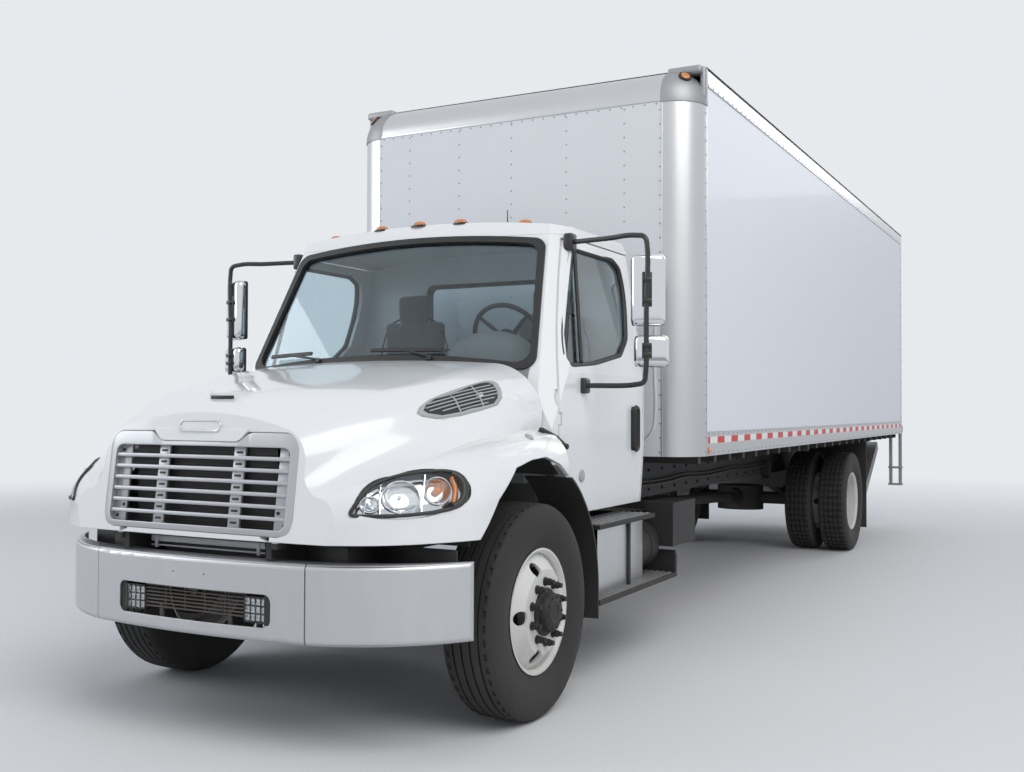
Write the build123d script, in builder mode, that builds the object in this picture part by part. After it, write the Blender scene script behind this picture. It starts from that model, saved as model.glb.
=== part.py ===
"""Box truck: conventional cab with a tilting hood, two axles, dual rear wheels and a van body.

Millimetres, +Z up. The truck faces -Y and its left side, with the steering wheel, is at +X.
The origin is on the ground under the middle of the whole truck.
"""

from build123d import *
import math
import os

os.makedirs("parts", exist_ok=True)

# Places along the truck, each measured from the front axle
WHEELBASE = 7220
FRONT_OVERHANG = 1110
BODY_START = 1859
BODY_LENGTH = 7975
STEP_OUT = 111
BODY_END = BODY_START + BODY_LENGTH
LENGTH = FRONT_OVERHANG + BODY_END + STEP_OUT
FRONT_AXLE = FRONT_OVERHANG - LENGTH / 2

# Running clearances
CLEAR = 0.3
SHUT_GAP = 8
REAR_SHUT_GAP = 12

# Wheels and tyres
TYRE_R = 512
TYRE_W = 279
BEAD_R = 286
RIM_R = 298
RIM_HALF = 115
RIM_WALL = 11
DISC_WALL = 12
FRONT_TYRE_X = 1040
REAR_OUTER_X = 1080
DUAL_SPACING = 343
HUB_R = 108
HUB_CAP_R = 84
DISC_START = 65
DISC_FLAT_R = 196
DISC_DISH = 60
HAND_HOLES = 5
HAND_HOLE_R = 33
HAND_HOLE_PITCH_R = 212
SPINDLE_R = 36
KINGPIN_X = 880
KINGPIN_R = 22
STEER_ARM = 190

# Chassis frame
RAIL_X = 430
RAIL_TOP = 1060
RAIL_DEPTH = 260
RAIL_FLANGE = 80
RAIL_WALL = 9
RAIL_START = -900
RAIL_END = 8950
SPRING_WIDTH = 76
SPRING_EYE_R = 28
SPRING_WALL = 44

# Cab
CAB_HALF = 1070
CAB_SHOULDER_HALF = 955
CAB_START = 300
CAB_END = 1600
CAB_BOTTOM = 915
CAB_TOP = 2535
ROOF_CROWN = 55
CAB_WALL = 60
BELT_Z = 1660
DOOR_START = 385
DOOR_END = 1545
DOOR_TOP = 2400
DOOR_HINGE_IN = 6
DOOR_HINGE_BACK = 10
GLASS = 6
FLOOR_TOP_Z = 1150
FLOOR_WALL = 60
SCREEN_BASE_Z = 1690
SCREEN_LEAN = 26
SCREEN_ARC_R = 6530
SCREEN_HALF_LOW = 947
SCREEN_HALF_HIGH = 836
SCREEN_LOW = 0
SCREEN_HIGH = 815
SEAL_WIDTH = 38

# Hood
HOOD_GAP = 7
HOOD_END = CAB_START - HOOD_GAP
HOOD_BOTTOM = 910
HOOD_WALL = 22
HOOD_PIVOT_Y = -1050
HOOD_PIVOT_Z = 905
FENDER_X = 1180
ARCH_TOP = 1243
NOSE_LEAN = 7.5
NOSE_Y = -1100

# Van body
BODY_WIDTH = 2591
BODY_HALF = BODY_WIDTH / 2
BODY_BOTTOM = 1171
BODY_TOP = 3660
BODY_WALL = 38
POST_R = 220
DECK_TOP = 1280
DECK_WALL = 40
SILL_HIGH = 60
SIDE_RAIL_HIGH = 156
TOP_RAIL_HIGH = 120
RAIL_PROUD = 3.5
ROOF_SKIN = 20

# Front bumper
BUMPER_TOP = 826
BUMPER_BOTTOM = 486
BUMPER_WALL = 8
BUMPER_DEPTH = 95
BUMPER_END_DEPTH = 30
BUMPER_JOINT_X = 600
BUMPER_JOINT_Y = -1066
BUMPER_END_X = 1161
BUMPER_END_Y = -664
JOINT_GAP = 5
END_BOW = (925, -915)

# Base planes: across looks back along the truck, side looks in from the left, plan looks down.
# The second or first axis of each is y from the front axle.
SIDE = Plane(origin=(0, FRONT_AXLE, 0), x_dir=(0, 1, 0), z_dir=(1, 0, 0))
ACROSS = Plane(origin=(0, FRONT_AXLE, 0), x_dir=(1, 0, 0), z_dir=(0, -1, 0))
PLAN = Plane(origin=(0, FRONT_AXLE, 0), x_dir=(1, 0, 0), z_dir=(0, 0, 1))


def save(built, name):
    """Label a finished piece and write it."""
    built.part.label = name
    export_step(built.part, f"parts/{name}.step")


def arc_y(start, middle, end, x):
    """Where a flat front arc through three (x, y) points lies at one x."""
    arc = ThreePointArc(start, middle, end)
    return arc.arc_center.Y - math.sqrt(arc.radius**2 - (x - arc.arc_center.X) ** 2)


def spot(x, y, z, toward):
    """A plane at a point, y from the front axle, that faces a direction."""
    return Plane(origin=(x, FRONT_AXLE + y, z), z_dir=toward)


def block(x_low, x_high, y_low, y_high, z_low, z_high, mode=Mode.ADD):
    """A rectangular bar between two corners."""
    with BuildSketch(PLAN.offset(z_low)) as profile:
        with Locations(((x_low + x_high) / 2, (y_low + y_high) / 2)):
            Rectangle(x_high - x_low, y_high - y_low)
    extrude(profile.sketch, amount=z_high - z_low, mode=mode)


def pair_block(x_low, x_high, y_low, y_high, z_low, z_high, mode=Mode.ADD):
    """The same bar on both sides of the truck."""
    with BuildSketch(PLAN.offset(z_low)) as profile:
        with Locations(
            ((x_low + x_high) / 2, (y_low + y_high) / 2),
            (-(x_low + x_high) / 2, (y_low + y_high) / 2),
        ):
            Rectangle(x_high - x_low, y_high - y_low)
    extrude(profile.sketch, amount=z_high - z_low, mode=mode)


def side_prism(points, x_low, x_high, mode=Mode.ADD):
    """A prism across the truck from an outline of (y, z) points."""
    with BuildSketch(SIDE.offset(x_low)) as profile:
        with BuildLine():
            Polyline(*points, close=True)
        make_face()
    extrude(profile.sketch, amount=x_high - x_low, mode=mode)


def rod(plane, radius, length, mode=Mode.ADD):
    """A round bar that starts on a plane."""
    with BuildSketch(plane) as profile:
        Circle(radius)
    extrude(profile.sketch, amount=length, mode=mode)


# Plans of the bumper's middle section and of its left end, as (x, y) points of an arc
MIDDLE_SECTION = (
    (-BUMPER_JOINT_X, BUMPER_JOINT_Y),
    (0, -FRONT_OVERHANG),
    (BUMPER_JOINT_X, BUMPER_JOINT_Y),
)
END_SECTION = (
    (BUMPER_JOINT_X + JOINT_GAP, BUMPER_JOINT_Y + 2),
    END_BOW,
    (BUMPER_END_X, BUMPER_END_Y),
)

# Chassis frame: two channel rails with crossmembers, spring hangers, bumper horns and cab mounts
RAIL_BOTTOM = RAIL_TOP - RAIL_DEPTH
CROSSMEMBERS = (-640, 1700, 3300, 4900, 6350, 8200, 8900)
FRONT_HANGER_Y = 660
REAR_HANGER_Y = 720
FRONT_SPRING_X = RAIL_X - RAIL_FLANGE / 2
REAR_SPRING_X = RAIL_X + SPRING_WIDTH / 2 + 12
FRONT_HANGER_BOTTOM = 690
REAR_HANGER_BOTTOM = 790
HORN_WALL = 30
SEAT = 0.5
HORN_START = arc_y(*MIDDLE_SECTION, RAIL_X - HORN_WALL) + BUMPER_WALL + SEAT + 3
HORN_BACK = -985
BUMPER_ARM_END = 745
BUMPER_ARM_START = arc_y(*END_SECTION, BUMPER_ARM_END) + BUMPER_WALL - SEAT
PIN_R = 12
PIN_LENGTH = 40
CAB_MOUNTS = (470, 1480)

with BuildPart() as frame:
    with BuildSketch(ACROSS.offset(-RAIL_END)):
        for side in (1, -1):
            with BuildLine():
                Polyline(
                    (side * RAIL_X, RAIL_BOTTOM),
                    (side * RAIL_X, RAIL_TOP),
                    (side * (RAIL_X - RAIL_FLANGE), RAIL_TOP),
                    (side * (RAIL_X - RAIL_FLANGE), RAIL_TOP - RAIL_WALL),
                    (side * (RAIL_X - RAIL_WALL), RAIL_TOP - RAIL_WALL),
                    (side * (RAIL_X - RAIL_WALL), RAIL_BOTTOM + RAIL_WALL),
                    (side * (RAIL_X - RAIL_FLANGE), RAIL_BOTTOM + RAIL_WALL),
                    (side * (RAIL_X - RAIL_FLANGE), RAIL_BOTTOM),
                    close=True,
                )
            make_face()
    extrude(amount=RAIL_END - RAIL_START)
    for y in CROSSMEMBERS:
        inner = RAIL_X - RAIL_WALL
        block(-inner, inner, y - 25, y + 25, RAIL_BOTTOM + 60, RAIL_TOP - 60)
    for y in (-FRONT_HANGER_Y, FRONT_HANGER_Y):
        pair_block(FRONT_SPRING_X - 38, FRONT_SPRING_X + 38, y - 40, y + 40,
                   FRONT_HANGER_BOTTOM, RAIL_BOTTOM)
    for y in (WHEELBASE - REAR_HANGER_Y, WHEELBASE + REAR_HANGER_Y):
        pair_block(RAIL_X, REAR_SPRING_X + SPRING_WIDTH / 2, y - 40, y + 40,
                   REAR_HANGER_BOTTOM, REAR_HANGER_BOTTOM + 150)
    for y in CAB_MOUNTS:
        pair_block(RAIL_X - RAIL_FLANGE, RAIL_X, y - 60, y + 60,
                   RAIL_TOP, FLOOR_TOP_Z - FLOOR_WALL)
    # Each horn holds the bumper and, above it, the pin on which the hood turns
    horn = (
        (RAIL_START + 60, BUMPER_BOTTOM + 70),
        (HORN_START, BUMPER_BOTTOM + 70),
        (HORN_START, BUMPER_TOP - 40),
        (HORN_BACK, BUMPER_TOP - 40),
        (HORN_BACK, BUMPER_TOP + 8),
        (HOOD_PIVOT_Y - 20, BUMPER_TOP + 8),
        (HOOD_PIVOT_Y - 20, HOOD_PIVOT_Z + 6),
        (HOOD_PIVOT_Y - 8, HOOD_PIVOT_Z + 18),
        (HOOD_PIVOT_Y + 8, HOOD_PIVOT_Z + 18),
        (HOOD_PIVOT_Y + 20, HOOD_PIVOT_Z + 6),
        (RAIL_START + 60, HOOD_PIVOT_Z - 10),
    )
    side_prism(horn, RAIL_X - HORN_WALL, RAIL_X)
    side_prism(horn, -RAIL_X, -RAIL_X + HORN_WALL)
    rod(spot(RAIL_X, HOOD_PIVOT_Y, HOOD_PIVOT_Z, (1, 0, 0)), PIN_R, PIN_LENGTH)
    rod(spot(-RAIL_X, HOOD_PIVOT_Y, HOOD_PIVOT_Z, (-1, 0, 0)), PIN_R, PIN_LENGTH)
    # Arms behind the bumper's ends
    pair_block(RAIL_X, BUMPER_ARM_END, BUMPER_ARM_START, BUMPER_ARM_START + 50, 700, 770)
save(frame, "frame")

# Front bumper in three pressed sections with a slot in the middle one
SLOT_HALF = 439
SLOT_LOW = 548
SLOT_HIGH = 688
PLATE_SPACING = 178
PLATE_Z = 752
PLATE_HOLE_R = 4


def bumper_section(start, middle, end, inset):
    """The plan of one bumper section: its front arc, and the same arc moved back by its depth."""
    end_inset = inset if end[0] > BUMPER_JOINT_X else 0
    with BuildSketch(PLAN.offset(BUMPER_BOTTOM + inset)) as profile:
        with BuildLine():
            front = ThreePointArc(
                (start[0], start[1] + inset),
                (middle[0], middle[1] + inset),
                (end[0] - end_inset, end[1] + inset),
            )
            depths = (BUMPER_DEPTH, BUMPER_DEPTH, BUMPER_DEPTH)
            if end[0] > BUMPER_JOINT_X:
                depths = (BUMPER_END_DEPTH, (BUMPER_DEPTH + BUMPER_END_DEPTH) / 2, BUMPER_DEPTH)
            back = [front @ at + Vector(0, depth) for at, depth in zip((1, 0.5, 0), depths)]
            Line(front @ 1, back[0])
            ThreePointArc(*back)
            Line(back[2], front @ 0)
        make_face()
    return profile.sketch


bumper_pieces = []
for start, middle, end in (MIDDLE_SECTION, END_SECTION):
    height = BUMPER_TOP - BUMPER_BOTTOM
    with BuildPart() as section:
        extrude(bumper_section(start, middle, end, 0), amount=height)
        lips = section.faces().filter_by(Axis.Z)
        fronts = [face.edges().filter_by(GeomType.CIRCLE).sort_by(Axis.Y)[0] for face in lips]
        fillet(fronts, 26)
        extrude(bumper_section(start, middle, end, BUMPER_WALL),
                amount=height - 2 * BUMPER_WALL, mode=Mode.SUBTRACT)
    bumper_pieces.append(section.part)

with BuildPart() as bumper:
    add(bumper_pieces[0])
    with BuildSketch(ACROSS.offset(FRONT_OVERHANG - 60)):
        with Locations((0, (SLOT_LOW + SLOT_HIGH) / 2)):
            RectangleRounded(2 * SLOT_HALF, SLOT_HIGH - SLOT_LOW, 34)
    extrude(amount=80, mode=Mode.SUBTRACT)
    # Holes for a front plate
    with BuildSketch(ACROSS.offset(FRONT_OVERHANG - 60)):
        with Locations((-PLATE_SPACING / 2, PLATE_Z), (PLATE_SPACING / 2, PLATE_Z)):
            Circle(PLATE_HOLE_R)
    extrude(amount=80, mode=Mode.SUBTRACT)
    add(bumper_pieces[1])
    add(mirror(bumper_pieces[1], about=Plane.YZ))
save(bumper, "bumper")


# Front axle: a dropped beam with an eye and kingpin at each end
AXLE_BEAM_Z = 440
AXLE_BEAM_HIGH = 96
AXLE_BEAM_WIDE = 76
EYE_R = 46
EYE_HIGH = 84
KINGPIN_HIGH = 190
SPRING_SEAT_Z = AXLE_BEAM_Z + AXLE_BEAM_HIGH / 2
SEAT_HALF = 55

with BuildPart() as front_axle:
    with BuildSketch(ACROSS.offset(-AXLE_BEAM_WIDE / 2)):
        with BuildLine():
            Polyline(
                (-KINGPIN_X, TYRE_R - 38), (-KINGPIN_X + 100, TYRE_R - 38),
                (-KINGPIN_X + 220, AXLE_BEAM_Z - 48), (KINGPIN_X - 220, AXLE_BEAM_Z - 48),
                (KINGPIN_X - 100, TYRE_R - 38), (KINGPIN_X, TYRE_R - 38),
                (KINGPIN_X, TYRE_R + 38), (KINGPIN_X - 170, SPRING_SEAT_Z),
                (-KINGPIN_X + 170, SPRING_SEAT_Z), (-KINGPIN_X, TYRE_R + 38),
                close=True,
            )
        make_face()
    extrude(amount=AXLE_BEAM_WIDE)
    for x in (-KINGPIN_X, KINGPIN_X):
        rod(spot(x, 0, TYRE_R - EYE_HIGH / 2, (0, 0, 1)), EYE_R, EYE_HIGH)
        rod(spot(x, 0, TYRE_R - KINGPIN_HIGH / 2, (0, 0, 1)), KINGPIN_R, KINGPIN_HIGH)
save(front_axle, "front_axle")

# Steering knuckles: a fork on the kingpin, the wheel's spindle and an arm to the tie rod
FORK_R = 44
FORK_LUG = 40
FORK_PLATE_X = KINGPIN_X + EYE_R + 8
SPINDLE_END = FRONT_TYRE_X + 108
ARM_WALL = 24
TIE_DROP = 40
TIE_PIN_R = 11
TIE_PIN_CLEAR = 1

LUG_HIGH_Z = TYRE_R + EYE_HIGH / 2 + 2
LUG_LOW_Z = 2 * TYRE_R - LUG_HIGH_Z - FORK_LUG
TIE_ROD_Z = LUG_LOW_Z - TIE_DROP + ARM_WALL / 2

with BuildPart() as knuckle_left:
    for low in (LUG_HIGH_Z, LUG_LOW_Z):
        rod(spot(KINGPIN_X, 0, low, (0, 0, 1)), FORK_R, FORK_LUG)
        block(KINGPIN_X, FORK_PLATE_X + 20, -FORK_R, FORK_R, low, low + FORK_LUG)
    block(FORK_PLATE_X, FORK_PLATE_X + 24, -60, 60, TYRE_R - 86, TYRE_R + 86)
    rod(spot(FORK_PLATE_X, 0, TYRE_R, (1, 0, 0)), SPINDLE_R, SPINDLE_END - FORK_PLATE_X)
    # The arm runs straight back from the lower lug, so both arms and the tie rod stay parallel
    with BuildSketch(PLAN.offset(LUG_LOW_Z)):
        with BuildLine():
            Polyline(
                (KINGPIN_X + 30, 0), (KINGPIN_X + 24, 40), (KINGPIN_X + 18, STEER_ARM + 18),
                (KINGPIN_X - 18, STEER_ARM + 18), (KINGPIN_X - 18, STEER_ARM - 18),
                (KINGPIN_X - 42, 20), (KINGPIN_X - 30, 0), close=True,
            )
        make_face()
    extrude(amount=ARM_WALL)
    rod(spot(KINGPIN_X, 0, 0, (0, 0, 1)), KINGPIN_R + CLEAR, 2 * TYRE_R, mode=Mode.SUBTRACT)
    pin_low = TIE_ROD_Z - 22
    rod(spot(KINGPIN_X, STEER_ARM, pin_low, (0, 0, 1)), TIE_PIN_R, LUG_LOW_Z + 2 - pin_low)
save(knuckle_left, "knuckle_left")

with BuildPart() as knuckle_right:
    add(mirror(knuckle_left.part, about=Plane.YZ))
save(knuckle_right, "knuckle_right")

# Tie rod between the two steering arms
TIE_EYE_R = 26
with BuildPart() as tie_rod:
    rod(spot(-KINGPIN_X, STEER_ARM, TIE_ROD_Z, (1, 0, 0)), 17, 2 * KINGPIN_X)
    for x in (-KINGPIN_X, KINGPIN_X):
        rod(spot(x, STEER_ARM, TIE_ROD_Z - 19, (0, 0, 1)), TIE_EYE_R, 38)
    for x in (-KINGPIN_X, KINGPIN_X):
        rod(spot(x, STEER_ARM, TIE_ROD_Z - 60, (0, 0, 1)), TIE_PIN_R + TIE_PIN_CLEAR, 120,
            mode=Mode.SUBTRACT)
save(tie_rod, "tie_rod")

# Leaf springs: front ones under the rails, rear ones outside them
REAR_TUBE_R = 66
REAR_SEAT_Z = TYRE_R + REAR_TUBE_R
with BuildPart() as springs:
    rows = (
        (0, FRONT_HANGER_Y, FRONT_SPRING_X, SPRING_SEAT_Z + SPRING_WALL, FRONT_HANGER_BOTTOM),
        (WHEELBASE, REAR_HANGER_Y, REAR_SPRING_X, REAR_SEAT_Z + SPRING_WALL, REAR_HANGER_BOTTOM),
    )
    for y, reach, x, top, hanger in rows:
        eye_z = hanger - CLEAR - SPRING_EYE_R
        for side in (1, -1):
            with BuildSketch(SIDE.offset(side * x - SPRING_WIDTH / 2)):
                with BuildLine():
                    upper = ThreePointArc((y - reach, eye_z), (y, top), (y + reach, eye_z))
                    lower_z = eye_z - SPRING_EYE_R / 2
                    lower = ThreePointArc(
                        (y - reach, lower_z), (y, top - SPRING_WALL), (y + reach, lower_z)
                    )
                    Line(upper @ 0, lower @ 0)
                    Line(upper @ 1, lower @ 1)
                make_face()
                with Locations((y - reach, eye_z), (y + reach, eye_z)):
                    Circle(SPRING_EYE_R)
            extrude(amount=SPRING_WIDTH)
save(springs, "springs")

# Rear axle: tube with a round differential housing and a spindle for each dual wheel
DIFF_R = 190
AXLE_END = 1010
REAR_SPINDLE_R = 46
REAR_SPINDLE_START = 560
with BuildPart() as rear_axle:
    rod(spot(-REAR_SPINDLE_START, WHEELBASE, TYRE_R, (1, 0, 0)), REAR_TUBE_R, 2 * REAR_SPINDLE_START)
    rod(spot(-AXLE_END, WHEELBASE, TYRE_R, (1, 0, 0)), REAR_SPINDLE_R, 2 * AXLE_END)
    for side in (1, -1):
        block(side * REAR_SPRING_X - 38, side * REAR_SPRING_X + 38, WHEELBASE - SEAT_HALF,
              WHEELBASE + SEAT_HALF, TYRE_R, REAR_SEAT_Z)
    with BuildSketch(PLAN.offset(TYRE_R - 130)):
        with Locations((0, WHEELBASE)):
            Ellipse(250, DIFF_R)
    extrude(amount=260)
    rod(spot(0, WHEELBASE - 330, TYRE_R + 20, (0, 1, 0)), 80, 240)
save(rear_axle, "rear_axle")


def tyre_profile(centre):
    """Half section of a tyre about the wheel's axis, drawn as (x, radius)."""
    half = TYRE_W / 2
    with BuildLine() as outline:
        Polyline(
            (centre - RIM_HALF + 14, BEAD_R), (centre + RIM_HALF - 14, BEAD_R),
            (centre + RIM_HALF - 4, RIM_R + 8),
        )
        ThreePointArc(
            (centre + RIM_HALF - 4, RIM_R + 8), (centre + half, TYRE_R - 105),
            (centre + half - 14, TYRE_R - 24),
        )
        Polyline(
            (centre + half - 14, TYRE_R - 24), (centre + half - 36, TYRE_R - 4),
            (centre, TYRE_R), (centre - half + 36, TYRE_R - 4), (centre - half + 14, TYRE_R - 24),
        )
        ThreePointArc(
            (centre - half + 14, TYRE_R - 24), (centre - half, TYRE_R - 105),
            (centre - RIM_HALF + 4, RIM_R + 8),
        )
        Line((centre - RIM_HALF + 4, RIM_R + 8), (centre - RIM_HALF + 14, BEAD_R))
    return outline.line


def axle_plane(y):
    """A plane through a wheel's axis: first axis along the axle, second one up from it."""
    return Plane(origin=(0, FRONT_AXLE + y, TYRE_R), x_dir=(1, 0, 0), z_dir=(0, -1, 0))


def axle_line(y):
    """The axis about which a wheel's sections turn."""
    return Axis((0, FRONT_AXLE + y, TYRE_R), (1, 0, 0))


def tyre(name, y, centres):
    """One tyre, or two side by side."""
    with BuildPart() as built:
        for centre in centres:
            with BuildSketch(axle_plane(y)) as profile:
                add(tyre_profile(centre))
                make_face()
            revolve(profile.sketch, axis=axle_line(y))
    save(built, name)


def rim_points(centre, out, disc):
    """Section of a rim and its disc as (x, radius).

    out is the side that faces outward, and disc is how far out from the rim's middle it lies.
    """
    turn = math.copysign(DISC_START, disc)
    inner_r = BEAD_R - CLEAR - RIM_WALL
    section = (
        (-RIM_HALF, RIM_R), (-RIM_HALF + 14, BEAD_R - CLEAR), (RIM_HALF - 14, BEAD_R - CLEAR),
        (RIM_HALF, RIM_R), (RIM_HALF, RIM_R - RIM_WALL), (RIM_HALF - 18, inner_r),
        (turn + 10, inner_r), (disc + DISC_WALL / 2, DISC_FLAT_R + 4),
        (disc + DISC_WALL / 2, HUB_R - 10), (disc - DISC_WALL / 2, HUB_R - 10),
        (disc - DISC_WALL / 2, DISC_FLAT_R - 4), (turn - 10, inner_r),
        (-RIM_HALF + 18, inner_r), (-RIM_HALF, RIM_R - RIM_WALL),
    )
    return [(centre + out * x, radius) for x, radius in section]


def wheel(name, y, rims, hub):
    """Rims with their discs, and the hub that carries them on the spindle.

    rims: (rim centre, side that faces out, disc's place); hub: (start, end, bore, bore depth).
    """
    with BuildPart() as built:
        for centre, out, disc in rims:
            with BuildSketch(axle_plane(y)) as profile:
                with BuildLine():
                    Polyline(*rim_points(centre, out, disc), close=True)
                make_face()
            revolve(profile.sketch, axis=axle_line(y))
        centre, out, disc = rims[0]
        face_x = centre + out * (disc + DISC_WALL / 2)
        start, end, bore, depth = hub
        rod(spot(start, y, TYRE_R, (out, 0, 0)), HUB_R, abs(face_x - start))
        rod(spot(face_x, y, TYRE_R, (out, 0, 0)), HUB_CAP_R, abs(end - face_x))
        for rim_x, rim_out, rim_disc in rims:
            hole_x = rim_x + rim_out * (rim_disc - DISC_DISH)
            with BuildSketch(spot(hole_x, y, TYRE_R, (rim_out, 0, 0))) as holes:
                with PolarLocations(HAND_HOLE_PITCH_R, HAND_HOLES, start_angle=90):
                    Circle(HAND_HOLE_R)
            extrude(holes.sketch, amount=2 * DISC_DISH, mode=Mode.SUBTRACT)
        rod(spot(start, y, TYRE_R, (out, 0, 0)), bore, depth, mode=Mode.SUBTRACT)
    save(built, name)


FRONT_DISC = 135
REAR_DISC = -DUAL_SPACING / 2 + DISC_WALL / 2
HUB_OUT = 56
HUB_START = FORK_PLATE_X + 30
for side, word in ((1, "left"), (-1, "right")):
    rear_inner_x = REAR_OUTER_X - DUAL_SPACING
    tyre(f"front_tyre_{word}", 0, (side * FRONT_TYRE_X,))
    tyre(f"rear_tyres_{word}", WHEELBASE, (side * REAR_OUTER_X, side * rear_inner_x))
    front_hub_end = FRONT_TYRE_X + FRONT_DISC + HUB_OUT
    wheel(
        f"front_wheel_{word}",
        0,
        ((side * FRONT_TYRE_X, side, FRONT_DISC),),
        (side * HUB_START, side * front_hub_end, SPINDLE_R + CLEAR, SPINDLE_END + 4 - HUB_START),
    )
    rear_hub_start = REAR_SPINDLE_START + 5
    wheel(
        f"rear_wheels_{word}",
        WHEELBASE,
        (
            (side * REAR_OUTER_X, side, REAR_DISC),
            (side * rear_inner_x, -side, REAR_DISC),
        ),
        (side * rear_hub_start, side * (AXLE_END + 40), REAR_SPINDLE_R + CLEAR,
         AXLE_END + 4 - rear_hub_start),
    )


# Engine and gearbox as plain masses at their real places, and the shaft to the rear axle
ENGINE_START = -560
ENGINE_END = 250
with BuildPart() as powertrain:
    block(-250, 250, ENGINE_START, ENGINE_END, RAIL_BOTTOM - 60, 1420)
    block(-190, 190, ENGINE_END - 10, 1150, 700, FLOOR_TOP_Z - FLOOR_WALL - 40)
    for y in (-300, 100):
        pair_block(240, RAIL_X - RAIL_WALL - CLEAR, y, y + 70, 880, 930)
    shaft_start = Vector(0, FRONT_AXLE + 1150, 790)
    shaft_end = Vector(0, FRONT_AXLE + WHEELBASE - 330 - CLEAR, TYRE_R + 20)
    run = shaft_end - shaft_start
    rod(Plane(origin=shaft_start - run.normalized() * 30, z_dir=run), 50, run.length + 20)
save(powertrain, "powertrain")

# Radiator and coolers behind the grille
RADIATOR_HALF = 345
RADIATOR_START = -900
RADIATOR_END = -780
with BuildPart() as radiator:
    block(-RADIATOR_HALF, RADIATOR_HALF, RADIATOR_START, RADIATOR_END, 700, 1420)
    pair_block(RADIATOR_HALF, RAIL_X - HORN_WALL - CLEAR, -870, -845, 820, 870)
    block(-300, 300, -960, RADIATOR_START - 20, 838, 1120)
    for z in (860, 1080):
        pair_block(250, 290, RADIATOR_START - 20, RADIATOR_START, z, z + 30)
save(radiator, "radiator")

# Van body: floor with crossmembers on sills, walls, rails, roof, rear frame and roll-up door
SIDE_START = BODY_START + POST_R
SILL_TOP = RAIL_TOP + SILL_HIGH
CROSS_WIDE = 50
CROSS_COUNT = 24
DECK_END = BODY_END - 60
INNER_HALF = BODY_HALF - RAIL_PROUD - BODY_WALL
with BuildPart() as body_floor:
    pair_block(RAIL_X - RAIL_FLANGE, RAIL_X - 10, BODY_START + 60, DECK_END, RAIL_TOP, SILL_TOP)
    block(-RAIL_X, RAIL_X, BODY_START + 60, BODY_START + 60 + CROSS_WIDE, SILL_TOP,
          DECK_TOP - DECK_WALL)
    for index in range(CROSS_COUNT):
        y = SIDE_START + 40 + index * (DECK_END - SIDE_START - 80) / (CROSS_COUNT - 1)
        block(-INNER_HALF + 20, INNER_HALF - 20, y - CROSS_WIDE / 2, y + CROSS_WIDE / 2,
              SILL_TOP, DECK_TOP - DECK_WALL)
    block(-INNER_HALF + CLEAR, INNER_HALF - CLEAR, BODY_START + POST_R, DECK_END,
          DECK_TOP - DECK_WALL, DECK_TOP)
    block(-BODY_HALF + POST_R, BODY_HALF - POST_R, BODY_START + BODY_WALL + CLEAR,
          BODY_START + POST_R, DECK_TOP - DECK_WALL, DECK_TOP)
save(body_floor, "body_floor")

SIDE_LOW = BODY_BOTTOM + SIDE_RAIL_HIGH
SIDE_HIGH = BODY_TOP - TOP_RAIL_HIGH
with BuildPart() as body_sides:
    pair_block(INNER_HALF, INNER_HALF + BODY_WALL, SIDE_START, DECK_END, SIDE_LOW, SIDE_HIGH)
save(body_sides, "body_sides")

# Bottom and top rails stand a little proud of the side panels
with BuildPart() as body_rails:
    pair_block(INNER_HALF, BODY_HALF, SIDE_START, DECK_END, BODY_BOTTOM, SIDE_LOW)
    pair_block(INNER_HALF, BODY_HALF, SIDE_START, DECK_END, SIDE_HIGH, BODY_TOP - ROOF_SKIN)
save(body_rails, "body_rails")

with BuildPart() as body_front:
    block(-BODY_HALF + POST_R, BODY_HALF - POST_R, BODY_START, BODY_START + BODY_WALL,
          BODY_BOTTOM, BODY_TOP - ROOF_SKIN - POST_R)
save(body_front, "body_front")

# Rounded corner posts, the rounded rail over the front wall, and a cast cap at each corner
CAP_PROUD = 12
with BuildPart() as body_front_frame:
    corner_x = BODY_HALF - POST_R
    with BuildSketch(PLAN.offset(BODY_BOTTOM)):
        with Locations((corner_x, SIDE_START), (-corner_x, SIDE_START)):
            Circle(POST_R)
            Circle(POST_R - BODY_WALL, mode=Mode.SUBTRACT)
        with Locations((0, SIDE_START + POST_R)):
            Rectangle(BODY_WIDTH + 10, 2 * POST_R, mode=Mode.SUBTRACT)
        with Locations((0, SIDE_START)):
            Rectangle(2 * corner_x, 2 * POST_R, mode=Mode.SUBTRACT)
    extrude(amount=BODY_TOP - ROOF_SKIN - POST_R - BODY_BOTTOM)
    rail_z = BODY_TOP - ROOF_SKIN - POST_R
    with BuildSketch(SIDE.offset(-corner_x)):
        with Locations((SIDE_START, rail_z)):
            Circle(POST_R)
            Circle(POST_R - BODY_WALL, mode=Mode.SUBTRACT)
        with Locations((SIDE_START + POST_R, rail_z)):
            Rectangle(2 * POST_R, 3 * POST_R, mode=Mode.SUBTRACT)
        with Locations((SIDE_START, rail_z - POST_R)):
            Rectangle(3 * POST_R, 2 * POST_R, mode=Mode.SUBTRACT)
    extrude(amount=2 * corner_x)
    for side in (1, -1):
        with BuildSketch(SIDE.offset(side * corner_x)) as quarter:
            with Locations((SIDE_START, rail_z)):
                Circle(POST_R)
                Circle(POST_R - BODY_WALL, mode=Mode.SUBTRACT)
            with Locations((SIDE_START + POST_R, rail_z)):
                Rectangle(2 * POST_R, 3 * POST_R, mode=Mode.SUBTRACT)
            with Locations((SIDE_START, rail_z - POST_R)):
                Rectangle(3 * POST_R, 2 * POST_R, mode=Mode.SUBTRACT)
        turn = Axis((side * corner_x, FRONT_AXLE + SIDE_START, rail_z), (0, 0, 1))
        revolve(quarter.sketch, axis=turn, revolution_arc=side * 90)
save(body_front_frame, "body_front_frame")

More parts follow.
